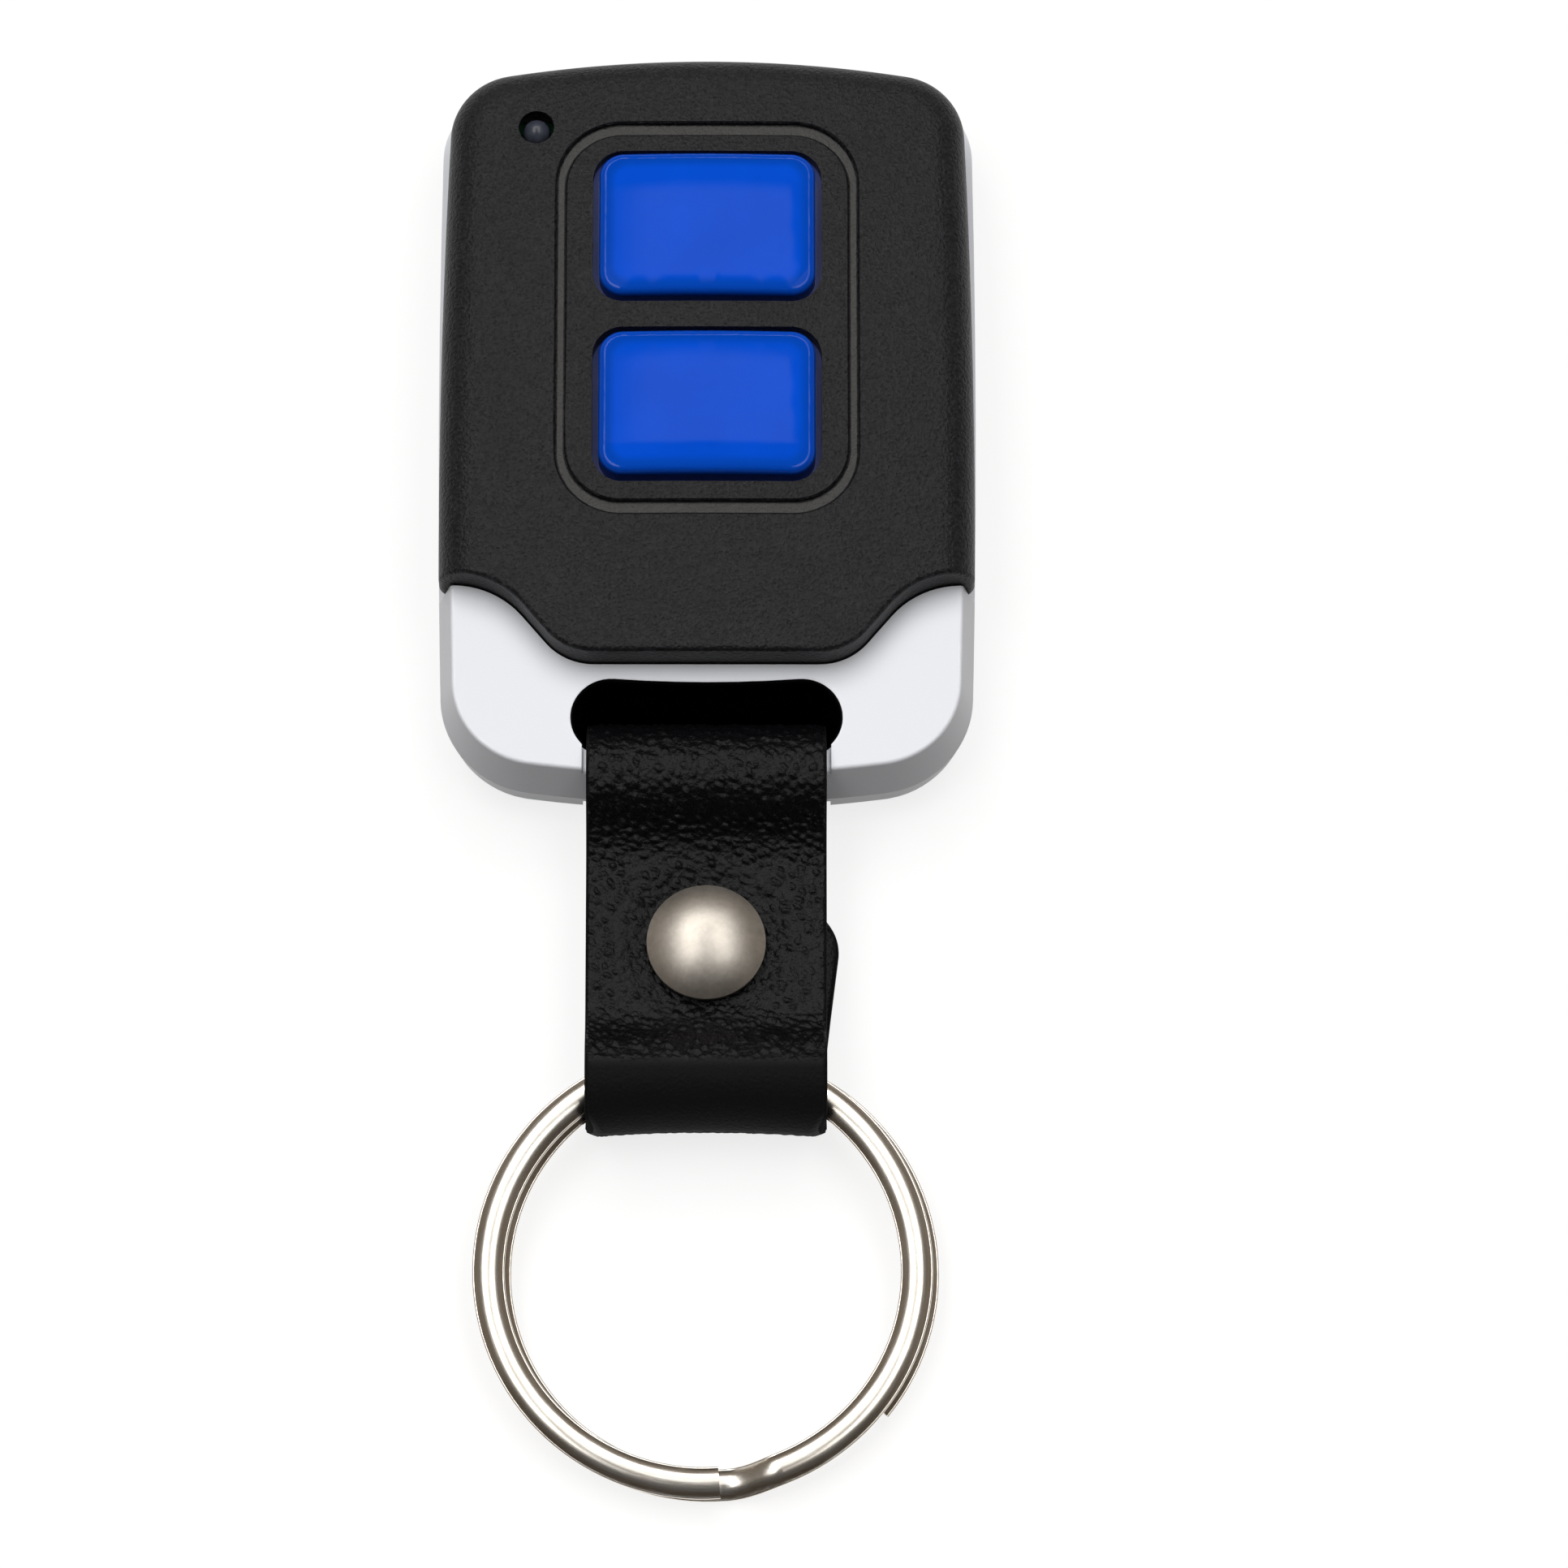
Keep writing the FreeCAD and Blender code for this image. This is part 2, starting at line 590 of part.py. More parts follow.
def battery_clip():
    """The positive contact: a strip under the cell that turns up at both sides to the board."""
    half = CELL_D / 2 + CLIP_CLEAR
    y0 = CELL_Y - CLIP_W / 2
    y1 = CELL_Y + CLIP_W / 2
    floor = box(-half - SHEET_T, half + SHEET_T, y0, y1, FLOOR_T, FLOOR_T + SHEET_T)
    left = box(-half - SHEET_T, -half, y0, y1, FLOOR_T, BOARD_Z)
    right = box(half, half + SHEET_T, y0, y1, FLOOR_T, BOARD_Z)
    window = box(-half / 2, half / 2, y0 + CLIP_RIM, y1 - CLIP_RIM, FLOOR_T - 1, FLOOR_T + 1)
    return floor.fuse(left).fuse(right).cut(window)


def negative_contact():
    """The negative contact: a tinned pad under the board that the cell's cap presses on."""
    pad = rounded_block(0, CELL_Y, CONTACT_L, CONTACT_W, CONTACT_R, BOARD_Z - CONTACT_T, BOARD_Z)
    half = CONTACT_SLOT_L / 2
    wide = CONTACT_SLOT_W / 2
    return pad.cut(box(-half, half, CELL_Y - wide, CELL_Y + wide, BOARD_Z - 1, BOARD_Z + 1))


def chip_leads(x, y, body_half, count, pitch, width):
    """Short flat leads along both long sides of a chip."""
    leads = []
    for side in (-1, 1):
        for index in range(count):
            middle = y + (index - (count - 1) / 2) * pitch
            ends = sorted((x + side * body_half, x + side * (body_half + LEAD_L)))
            leads.append(box(ends[0], ends[1], middle - width / 2, middle + width / 2,
                             BOARD_TOP_Z, BOARD_TOP_Z + LEAD_T))
    return leads


def chip_body(x, y, width, length, height, chamfer):
    """A moulded chip body with chamfered top edges."""
    z1 = BOARD_TOP_Z + height
    body = box(x - width / 2, x + width / 2, y - length / 2, y + length / 2, BOARD_TOP_Z, z1)
    return body.makeChamfer(chamfer, edges_at(body, z1))


def encoder_chip():
    """The rolling-code encoder in an eight-lead package, with a dot in one corner."""
    half = ENCODER_W / 2
    z1 = BOARD_TOP_Z + ENCODER_H
    body = chip_body(RIGHT_X, ENCODER_Y, ENCODER_W, ENCODER_L, ENCODER_H, ENCODER_CHAMFER)
    dot_x = RIGHT_X - half + DOT_INSET
    dot_y = ENCODER_Y + ENCODER_L / 2 - DOT_INSET
    body = body.cut(rod(dot_x, dot_y, z1 - DOT_DEPTH, z1 + 1, DOT_D))
    return body.multiFuse(chip_leads(RIGHT_X, ENCODER_Y, half, ENCODER_LEADS, ENCODER_PITCH, ENCODER_LEAD_W))


def saw_resonator():
    """The resonator that sets the radio frequency: a ceramic tray with a metal lid."""
    z1 = BOARD_TOP_Z + RESONATOR_H
    inset = 2 * RESONATOR_LID_INSET
    body = rounded_block(RIGHT_X, RESONATOR_Y, RESONATOR_W, RESONATOR_L, RESONATOR_R, BOARD_TOP_Z, z1)
    return body.fuse(rounded_block(RIGHT_X, RESONATOR_Y, RESONATOR_W - inset, RESONATOR_L - inset,
                                   RESONATOR_R, z1, z1 + RESONATOR_LID_T))


def radio_transistor():
    """The radio transistor in a three-lead package."""
    half = TRANSISTOR_W / 2
    wide = TRANSISTOR_LEAD_W / 2
    places = [(-1, 0.0), (1, -TRANSISTOR_PITCH / 2), (1, TRANSISTOR_PITCH / 2)]
    leads = []
    for side, offset in places:
        ends = sorted((LEFT_X + side * half, LEFT_X + side * (half + TRANSISTOR_LEAD_L)))
        y = TRANSISTOR_Y + offset
        leads.append(box(ends[0], ends[1], y - wide, y + wide, BOARD_TOP_Z, BOARD_TOP_Z + LEAD_T))
    body = chip_body(LEFT_X, TRANSISTOR_Y, TRANSISTOR_W, TRANSISTOR_L, TRANSISTOR_H, TRANSISTOR_CHAMFER)
    return body.multiFuse(leads)


def chips(first_y, pitch, count, size):
    """A row of small two-ended chips: a body between two end caps that stand a little proud."""
    length, width, height = size
    x0 = LEFT_X - length / 2
    x1 = LEFT_X + length / 2
    z1 = BOARD_TOP_Z + height
    made = []
    for row in range(count):
        y0 = first_y + pitch * row - width / 2
        y1 = y0 + width
        body = box(x0, x1, y0, y1, BOARD_TOP_Z, z1 - CHIP_CAP_PROUD)
        left = box(x0, x0 + CHIP_CAP_W, y0, y1, BOARD_TOP_Z, z1)
        right = box(x1 - CHIP_CAP_W, x1, y0, y1, BOARD_TOP_Z, z1)
        made.append(body.multiFuse([left, right]))
    return Part.makeCompound(made)


def chip_resistors():
    """The resistors, in a row beside the lower button."""
    return chips(RESISTOR_Y, -RESISTOR_PITCH, RESISTOR_COUNT, RESISTOR_SIZE)


def chip_capacitors():
    """The capacitors, in a row beside the upper button."""
    return chips(CAPACITOR_Y, CAPACITOR_PITCH, CAPACITOR_COUNT, CAPACITOR_SIZE)


def indicator_lamp():
    """A small round lamp that stands on the board and looks out through its hole."""
    ball_z = LAMP_TOP_Z - LAMP_D / 2
    lens = rod(LAMP_X, LAMP_Y, BOARD_TOP_Z, ball_z, LAMP_D)
    flange = rod(LAMP_X, LAMP_Y, BOARD_TOP_Z, BOARD_TOP_Z + LAMP_FLANGE_T, LAMP_FLANGE_D)
    ball = Part.makeSphere(LAMP_D / 2, V(LAMP_X, LAMP_Y, ball_z))
    return lens.fuse(ball).fuse(flange).removeSplitter()


def switch_body(y):
    """The moulded body of a tact switch, bored for its plunger, with four leads."""
    half = SWITCH_W / 2
    z1 = BOARD_TOP_Z + SWITCH_H
    body = box(-half, half, y - half, y + half, BOARD_TOP_Z, z1)
    body = body.makeChamfer(SWITCH_CHAMFER, upright_edges(body))
    body = body.cut(rod(0, y, BOARD_TOP_Z + SWITCH_FLOOR_T, z1 + 1, PLUNGER_D + 2 * PLUNGER_FIT))
    return body.multiFuse(chip_leads(0, y, half, SWITCH_LEADS, SWITCH_LEAD_PITCH, LEAD_W))


def switch_plate(y):
    """The thin metal plate that holds a tact switch together, bored for the plunger."""
    z0 = BOARD_TOP_Z + SWITCH_H
    side = SWITCH_W - 2 * SWITCH_PLATE_INSET
    plate = rounded_block(0, y, side, side, SWITCH_PLATE_R, z0, z0 + SWITCH_PLATE_T)
    return plate.cut(rod(0, y, z0 - 1, z0 + 1, PLUNGER_D + 2 * PLUNGER_FIT))


def switch_plunger(y):
    """The plunger of a tact switch, which the key's nub pushes."""
    z0 = BOARD_TOP_Z + SWITCH_FLOOR_T + TRAVEL + PLUNGER_SPARE
    return rod(0, y, z0, PLUNGER_TOP_Z, PLUNGER_D)


def key_top(y):
    """Height of a key's upper face, which the glossy cap sits on."""
    return CROWN_Z + BUTTON_PROUD - y * y / (2 * CROWN_R) - KEY_RECESS


def button_key(y):
    """A key: a plate that fills its window, a flange behind the roof and a nub on the plunger."""
    plate = rounded_block(0, y, BUTTON_W, BUTTON_H, BUTTON_R, KEY_FLANGE_LOW, key_top(y))
    flange = rounded_block(0, y, BUTTON_W + 2 * KEY_FLANGE, BUTTON_H + 2 * KEY_FLANGE,
                           BUTTON_R + KEY_FLANGE, KEY_FLANGE_LOW, KEY_FLANGE_TOP)
    return plate.fuse(flange).fuse(rod(0, y, PLUNGER_TOP_Z, KEY_FLANGE_LOW, KEY_NUB_D)).removeSplitter()


def button_dome(y):
    """The glossy cap on a key: a crowned pad whose edges round over."""
    z0 = key_top(y)
    pad = rounded_block(0, y, BUTTON_W, BUTTON_H, BUTTON_R, z0, z0 + DOME_H + 1)
    ball = Part.makeSphere(DOME_CROWN_R, V(0, y, z0 + DOME_H - DOME_CROWN_R))
    pad = pad.common(ball)
    top_face = max(pad.Faces, key=lambda face: face.CenterOfMass.z)
    return pad.makeFillet(DOME_EDGE_R, top_face.OuterWire.Edges)


def bend_between(loop_y, loop_z, loop_r, level, bend_r, side, up):
    """Where a ply leaves a loop: the centre of the bend that joins the loop to a straight run."""
    centre_z = level + bend_r * up
    rise = centre_z - loop_z
    run = math.sqrt((loop_r + bend_r) ** 2 - rise ** 2)
    centre = V(0, loop_y + side * run, centre_z)
    loop = V(0, loop_y, loop_z)
    join = loop + (centre - loop) * (loop_r / (loop_r + bend_r))
    flat = V(0, centre.y, level)
    middle = centre + ((join - centre) + (flat - centre)).normalize() * bend_r
    return join, middle, flat


def strap_paths():
    """The middle line of the leather in the YZ plane, from the upper tail round to the lower tail."""
    step = LEATHER_T + PLY_GAP
    front = STACK_Z + step
    back = STACK_Z - step
    bar_r = BAR_LOOP_R + LEATHER_T / 2
    ring_r = RING_LOOP_R + LEATHER_T / 2
    a_join, a_mid, a_flat = bend_between(BAR_LOOP_Y, BAR_LOOP_Z, bar_r, STACK_Z, BEND_R_UPPER, -1, -1)
    b_join, b_mid, b_flat = bend_between(BAR_LOOP_Y, BAR_LOOP_Z, bar_r, front, BEND_R_UPPER, -1, 1)
    c_join, c_mid, c_flat = bend_between(RING_LOOP_Y, RING_LOOP_Z, ring_r, front, BEND_R_LOWER, 1, 1)
    d_join, d_mid, d_flat = bend_between(RING_LOOP_Y, RING_LOOP_Z, ring_r, back, BEND_R_LOWER, 1, -1)
    bar_far = V(0, BAR_LOOP_Y + bar_r, BAR_LOOP_Z)
    ring_far = V(0, RING_LOOP_Y - ring_r, RING_LOOP_Z)
    upper = [
        Part.makeLine(V(0, TAIL_UPPER_END, STACK_Z), a_flat),
        Part.Arc(a_flat, a_mid, a_join).toShape(),
        Part.Arc(a_join, bar_far, b_join).toShape(),
        Part.Arc(b_join, b_mid, b_flat).toShape(),
        Part.makeLine(b_flat, c_flat),
        Part.Arc(c_flat, c_mid, c_join).toShape(),
        Part.Arc(c_join, ring_far, d_join).toShape(),
    ]
    lower = [
        Part.Arc(d_join, d_mid, d_flat).toShape(),
        Part.makeLine(d_flat, V(0, TAIL_LOWER_END, back)),
    ]
    return upper, lower


def leather_band(path, half_width):
    """A flat band of leather: each piece of its middle line thickened in the plane and drawn out in X."""
    pieces = []
    for edge in path:
        start = edge.valueAt(edge.FirstParameter)
        along = edge.tangentAt(edge.FirstParameter)
        across = V(0, -along.z, along.y) * (LEATHER_T / 2)
        side = Part.makeLine(start - across, start + across)
        face = Part.Wire([edge]).makePipeShell([Part.Wire([side])], False, False).Faces[0]
        pieces.append(face.translated(V(-half_width, 0, 0)).extrude(V(2 * half_width, 0, 0)))
    return pieces[0].multiFuse(pieces[1:]).removeSplitter()


def strap():
    """The leather strap: one band through the slot and the ring, its ends lapped under the rivet."""
    upper, lower = strap_paths()
    half = STRAP_W / 2
    uncut = half + 2 * TAIL_SKEW
    low = RING_LOOP_Y - RING_LOOP_R - LEATHER_T
    plan = [(-half, FAR), (-half, low + STRAP_CORNER), (-half + STRAP_CORNER, low - OVERCUT),
            (half - STRAP_CORNER, low - OVERCUT), (half, low + STRAP_CORNER), (half, FAR)]
    points = [V(x, y, -FAR) for x, y in plan]
    outline = Part.Face(Part.makePolygon(points + points[:1])).extrude(V(0, 0, 2 * FAR))
    main = leather_band(upper, uncut).common(outline)

    join_y = lower[0].valueAt(lower[0].FirstParameter).y
    tail = [(-half, join_y - LEATHER_T), (half, join_y - LEATHER_T), (half, join_y),
            (half + TAIL_SKEW, TAIL_LOWER_END), (TAIL_SKEW - half, TAIL_LOWER_END), (-half, join_y)]
    points = [V(x, y, -FAR) for x, y in tail]
    tail_plan = Part.Face(Part.makePolygon(points + points[:1])).extrude(V(0, 0, 2 * FAR))
    ends = [edge for edge in upright_edges(tail_plan) if edge.Vertexes[0].Y > TAIL_LOWER_END - SAME]
    tail_plan = tail_plan.makeFillet(TAIL_END_R, ends)
    whole = main.fuse(leather_band(lower, uncut).common(tail_plan))

    dish = Part.makeCone(RIVET_D / 2 + DISH_CLEAR, DISH_D / 2, DISH_DEPTH, V(0, RIVET_Y, RIVET_SEAT_Z))
    hole = rod(0, RIVET_Y, -FAR, FAR, RIVET_POST_D + RIVET_HOLE_FIT)
    return whole.cut(dish).cut(hole).removeSplitter()


def rivet_cap():
    """The domed cap on the face of the strap: a hollow shell with a rolled rim."""
    seat = RIVET_SEAT_Z
    half = RIVET_D / 2
    rise = RIVET_H - RIVET_RIM_H
    ball_r = (half * half + rise * rise) / (2 * rise)
    turn = math.asin(half / ball_r) / 2
    top = seat + RIVET_H
    curl = RIVET_RIM_R * (1 - math.cos(math.pi / 4))
    on_ball = V(ball_r * math.sin(turn), 0, top - ball_r * (1 - math.cos(turn)))
    profile = Part.Wire([
        Part.makeLine(V(0, 0, seat), V(half - RIVET_RIM_R, 0, seat)),
        Part.Arc(V(half - RIVET_RIM_R, 0, seat), V(half - curl, 0, seat + curl),
                 V(half, 0, seat + RIVET_RIM_R)).toShape(),
        Part.makeLine(V(half, 0, seat + RIVET_RIM_R), V(half, 0, seat + RIVET_RIM_H)),
        Part.Arc(V(half, 0, seat + RIVET_RIM_H), on_ball, V(0, 0, top)).toShape(),
        Part.makeLine(V(0, 0, top), V(0, 0, seat)),
    ])
    cap = Part.Face(profile).revolve(V(0, 0, 0), V(0, 0, 1), 360)
    room = Part.makeCylinder(RIVET_POST_D / 2, RIVET_H - RIVET_SKIN, V(0, 0, seat))
    return cap.cut(room).translated(V(0, RIVET_Y, 0))


def rivet_post():
    """The other half of the rivet: a hollow post on a low domed foot behind the strap."""
    low = STRAP_BACK_Z - RIVET_FOOT_H
    top = RIVET_SEAT_Z + RIVET_H - RIVET_SKIN
    foot = rod(0, RIVET_Y, low, STRAP_BACK_Z, RIVET_FOOT_D)
    foot = foot.makeFillet(RIVET_FOOT_R, edges_at(foot, low))
    post = rod(0, RIVET_Y, STRAP_BACK_Z, top, RIVET_POST_D)
    bore = rod(0, RIVET_Y, low + RIVET_BORE_FLOOR, top + 1, RIVET_POST_D - 2 * RIVET_POST_WALL)
    return foot.fuse(post).cut(bore)


def ring_section(angle, level):
    """The oval cross-section of the ring's wire at one angle and height: crowned faces and round sides."""
    radius = (RING_D - RING_BAND) / 2
    half_w = RING_BAND / 2
    half_t = RING_WIRE_T / 2
    inner = radius - half_w + RING_SIDE
    outer = radius + half_w - RING_SIDE
    shoulder = half_t - RING_CROWN
    top_in = V(inner, 0, level + shoulder)
    top_out = V(outer, 0, level + shoulder)
    low_in = V(inner, 0, level - shoulder)
    low_out = V(outer, 0, level - shoulder)
    wire = Part.Wire([
        Part.Arc(top_in, V(radius, 0, level + half_t), top_out).toShape(),
        Part.Arc(top_out, V(radius + half_w, 0, level), low_out).toShape(),
        Part.Arc(low_out, V(radius, 0, level - half_t), low_in).toShape(),
        Part.Arc(low_in, V(radius - half_w, 0, level), top_in).toShape(),
    ])
    wire.rotate(V(0, 0, 0), V(0, 0, 1), angle)
    return wire


def turn_of_wire(level, sweep, slip):
    """A stretch of the ring that starts at its front end, at one height and slipped along X."""
    turn = Part.Face(ring_section(RING_FRONT_END, level)).revolve(V(0, 0, 0), V(0, 0, 1), sweep)
    return turn.translated(V(slip, 0, 0))


def split_ring():
    """The two-turn ring about its own centre, its lower turn slipped a little to the side of the upper."""
    level = (RING_WIRE_T + RING_TURN_GAP) / 2
    joggle_start = RING_FRONT_END + RING_JOGGLE
    upper_sweep = 360.0 - RING_JOGGLE
    lower_sweep = 360.0 - (RING_BACK_END - RING_FRONT_END)
    upper = turn_of_wire(level, -upper_sweep, -RING_SLIP / 2)
    lower = turn_of_wire(-level, -lower_sweep, RING_SLIP / 2)
    sections = []
    for index in range(RING_JOGGLE_SECTIONS):
        share = index / (RING_JOGGLE_SECTIONS - 1)
        eased = share * share * (3 - 2 * share)
        section = ring_section(joggle_start - RING_JOGGLE * share, level * (1 - 2 * eased))
        sections.append(section.translated(V(RING_SLIP * (eased - 0.5), 0, 0)))
    joggle = Part.makeLoft(sections, True, False)
    gap = turn_of_wire(level, RING_END_GAP, -RING_SLIP / 2)
    return joggle.cut(gap).fuse(upper).fuse(lower)


def laid_ring():
    """The ring hung in the strap's loop, its far side down on the surface."""
    radius = (RING_D - RING_BAND) / 2
    chord = math.sqrt(radius * radius - (STRAP_W / 2) ** 2)
    reach = (radius + chord) / 2
    half_t = RING_WIRE_T + RING_TURN_GAP / 2
    fall = RING_LOOP_Z - half_t - FLOOR_CLEAR
    tilt = math.degrees(math.asin(fall / (reach + RING_D / 2)))
    ring = split_ring()
    ring.translate(V(0, -reach, 0))
    ring.rotate(V(0, 0, 0), V(1, 0, 0), tilt)
    ring.translate(V(0, RING_LOOP_Y, RING_LOOP_Z))
    print("ring tilt", round(tilt, 3), "reach", round(reach, 3))
    return ring


os.makedirs("parts", exist_ok=True)
save("base_shell", base_shell())
save("front_cover", front_cover())
save("case_screws", case_screws())
save("circuit_board", circuit_board())
save("loop_antenna", loop_antenna())
save("coin_cell", coin_cell())
save("battery_clip", battery_clip())
save("negative_contact", negative_contact())
save("encoder_chip", encoder_chip())
save("saw_resonator", saw_resonator())
save("radio_transistor", radio_transistor())
save("chip_resistors", chip_resistors())
save("chip_capacitors", chip_capacitors())
save("indicator_lamp", indicator_lamp())
for place, centre_y in BUTTON_YS.items():
    save(place + "_switch_body", switch_body(centre_y))
    save(place + "_switch_plate", switch_plate(centre_y))
    save(place + "_switch_plunger", switch_plunger(centre_y))
    save(place + "_button_key", button_key(centre_y))
    save(place + "_button_dome", button_dome(centre_y))
save("strap", strap())
save("rivet_cap", rivet_cap())
save("rivet_post", rivet_post())
save("split_ring", laid_ring())
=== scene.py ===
import json
import math
import bpy
from mathutils import Matrix, Vector, noise


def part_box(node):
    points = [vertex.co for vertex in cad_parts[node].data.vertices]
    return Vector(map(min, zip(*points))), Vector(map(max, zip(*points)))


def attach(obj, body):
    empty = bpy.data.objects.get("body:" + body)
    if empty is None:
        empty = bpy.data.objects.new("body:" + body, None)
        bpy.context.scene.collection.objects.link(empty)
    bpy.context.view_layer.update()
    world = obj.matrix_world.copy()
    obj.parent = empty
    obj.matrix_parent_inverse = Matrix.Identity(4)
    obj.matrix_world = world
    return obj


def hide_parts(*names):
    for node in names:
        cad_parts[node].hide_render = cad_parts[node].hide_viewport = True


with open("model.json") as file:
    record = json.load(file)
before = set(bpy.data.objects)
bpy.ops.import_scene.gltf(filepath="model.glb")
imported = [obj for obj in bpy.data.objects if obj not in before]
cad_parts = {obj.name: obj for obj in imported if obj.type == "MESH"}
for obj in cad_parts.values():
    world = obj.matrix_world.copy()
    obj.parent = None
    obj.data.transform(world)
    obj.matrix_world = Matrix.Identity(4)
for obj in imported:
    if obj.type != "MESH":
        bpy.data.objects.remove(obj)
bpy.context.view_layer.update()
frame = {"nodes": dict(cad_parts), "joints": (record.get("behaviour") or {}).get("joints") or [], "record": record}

MM = 0.001
nodes = frame["nodes"]
joints = {joint["name"]: joint for joint in frame["joints"]}

# Camera, as it looked down on the remote: tilt from straight down, turn to the left, and roll
CAMERA_TILT = math.radians(18.5)
CAMERA_TURN = math.radians(0.8)
CAMERA_ROLL = math.radians(-0.05)
CAMERA_TARGET = Vector((5.06, -22.96, 0.0)) * MM
CAMERA_DISTANCE = 632.5 * MM
CAMERA_LENS = 221.46
CAMERA_SENSOR = 36.0
CAMERA_CLIP = 0.01

# Light: a tent with soft panels overhead and dim walls. The walls' colour goes by the sine of the
# elevation, and the front ones are darker: they end where a direction's Y passes FRONT_END.
# A panel is its left, right, front and back edge and its level, and an edge is the tangent
# from the zenith with the blur on either side. Directions below LOWEST_Z count as lying at it.
WALLS = [
    (0.0, (0.085, 0.060, 0.038, 1)),
    (0.35, (0.18, 0.148, 0.115, 1)),
    (1.0, (0.11, 0.11, 0.11, 1)),
]
FRONT_WALLS = [
    (0.0, (0.020, 0.011, 0.005, 1)),
    (0.35, (0.040, 0.030, 0.020, 1)),
    (1.0, (0.11, 0.11, 0.11, 1)),
]
FRONT_END = -0.35
FRONT_BLUR = 0.30
LOWEST_Z = 0.001
PANEL_TINT = (1.0, 0.99, 0.975, 1)
KEY_PANEL = ((-0.145, 0.045), (0.144, 0.006), (0.294, 0.006), (0.482, 0.018), 1.25)
LEFT_PANEL = ((-0.60, 0.20), (-0.215, 0.02), (-0.22, 0.20), (1.0, 0.10), 5.4)
RIGHT_PANEL = ((0.20, 0.01), (0.55, 0.20), (-0.22, 0.20), (1.0, 0.10), 4.5)
BACK_PANEL = ((-0.215, 0.02), (0.20, 0.01), (0.60, 0.05), (1.1, 0.10), 3.85)
FRONT_PANEL = ((-0.215, 0.02), (0.20, 0.01), (0.06, 0.06), (0.24, 0.01), 1.3)

# The floor: its own grey, the glow that makes it white to the camera, and its half width in millimetres
FLOOR_COLOR = 0.22
FLOOR_GLOW = 0.80
FLOOR_HALF = 4000.0

# The white backdrop's top edge and its blur, by the sine of the elevation
BACKDROP_TOP = 0.06
BACKDROP_BLUR = 0.04

# The box round the strap's slot, in millimetres, where its upright walls are coloured black and the floor below
# gets a painted black shadow, and the lean up to which a face there is its wall
SLOT_HALF_X = 9.1
SLOT_Y = -20.6
SLOT_HALF_Y = 3.1
SLOT_WALL_LEAN = 0.9

# The groove round the buttons, in millimetres: its outline, its width along the sides and at the ends,
# and how far its floor, painted paler grey as a painted sheen, keeps from its walls
GROOVE_HALF_X = 9.9
GROOVE_HALF_Y = 13.795
GROOVE_Y = 6.15
GROOVE_R = 4.3
GROOVE_SIDE = 0.58
GROOVE_END = 0.85
GROOVE_INSET = 0.10

# The gel's deeper band along a button's rim, in millimetres
GEL_CORNER_R = 2.0
GEL_RIM = 0.9
GEL_RIM_BLUR = 0.35

# The drawn lines of the ring's wire: their number per metre across it and per radian round the ring
DRAWN_ACROSS = 9000.0
DRAWN_ROUND = 6.0

# How deep the rubbing marks on metal are, in millimetres
METAL_MARKS = 0.004

# Colours: where there are two, a material's pattern runs from the first to the second. The lacquer has a
# little metal in it too.
COVER_BLACK = ((0.002, 0.002, 0.0028, 1), (0.014, 0.014, 0.017, 1))
# The paler grey painted on the groove's floor as a painted sheen
GROOVE_PAINTED_SHEEN = (0.048, 0.048, 0.046, 1)
SILVER = ((0.785, 0.81, 0.865, 1), (0.825, 0.85, 0.905, 1))
SILVER_METALLIC = 0.04
SLOT_WALL_BLACK = (0.0015, 0.0015, 0.002, 1)
GEL_BLUE = ((0.0004, 0.070, 0.61, 1), (0.0006, 0.078, 0.67, 1))
GEL_RIM_BLUE = (0.0003, 0.058, 0.46, 1)
LENS_SMOKE = ((0.030, 0.034, 0.050, 1), (0.050, 0.055, 0.075, 1))
LEATHER_BLACK = ((0.0012, 0.0012, 0.0015, 1), (0.004, 0.004, 0.005, 1))
RING_TONES = ((0.72, 0.66, 0.58, 1), (0.86, 0.82, 0.76, 1))

# The plain moulded plastics: colour, lighter colour, roughness, the grain's size and depth in millimetres
PLASTICS = {
    "key_blue": ((0.006, 0.030, 0.26, 1), (0.010, 0.045, 0.34, 1), 0.4, 0.2, 0.004),
    "board_green": ((0.012, 0.13, 0.05, 1), (0.02, 0.18, 0.08, 1), 0.35, 0.6, 0.004),
    "chip_black": ((0.014, 0.014, 0.014, 1), (0.03, 0.03, 0.03, 1), 0.55, 0.1, 0.01),
    "resistor_black": ((0.02, 0.02, 0.02, 1), (0.04, 0.04, 0.04, 1), 0.35, 0.3, 0.004),
    "capacitor_tan": ((0.40, 0.29, 0.17, 1), (0.52, 0.40, 0.26, 1), 0.45, 0.2, 0.004),
    "plunger_black": ((0.02, 0.02, 0.02, 1), (0.04, 0.04, 0.04, 1), 0.4, 0.2, 0.004),
}

# The metals: dark and light tone, least and most roughness, stretch of the marks, scale of the patches
METALS = {
    "rivet_nickel": ((0.40, 0.37, 0.33, 1), (0.54, 0.50, 0.45, 1), 0.38, 0.46, (3, 3, 3), 0.5),
    "zinc_steel": ((0.45, 0.45, 0.45, 1), (0.62, 0.62, 0.62, 1), 0.28, 0.42, (6, 6, 6), 0.8),
    "copper": ((0.60, 0.28, 0.15, 1), (0.80, 0.42, 0.25, 1), 0.25, 0.4, (5, 5, 5), 0.8),
    "cell_steel": ((0.52, 0.52, 0.52, 1), (0.68, 0.68, 0.68, 1), 0.2, 0.32, (4, 1, 4), 0.3),
    "spring_steel": ((0.45, 0.45, 0.45, 1), (0.60, 0.60, 0.60, 1), 0.25, 0.4, (1, 8, 1), 0.5),
    "tinned_pad": ((0.60, 0.60, 0.60, 1), (0.74, 0.74, 0.74, 1), 0.3, 0.45, (3, 3, 3), 0.5),
    "ceramic_can": ((0.55, 0.44, 0.24, 1), (0.72, 0.60, 0.36, 1), 0.3, 0.4, (4, 4, 4), 0.6),
}


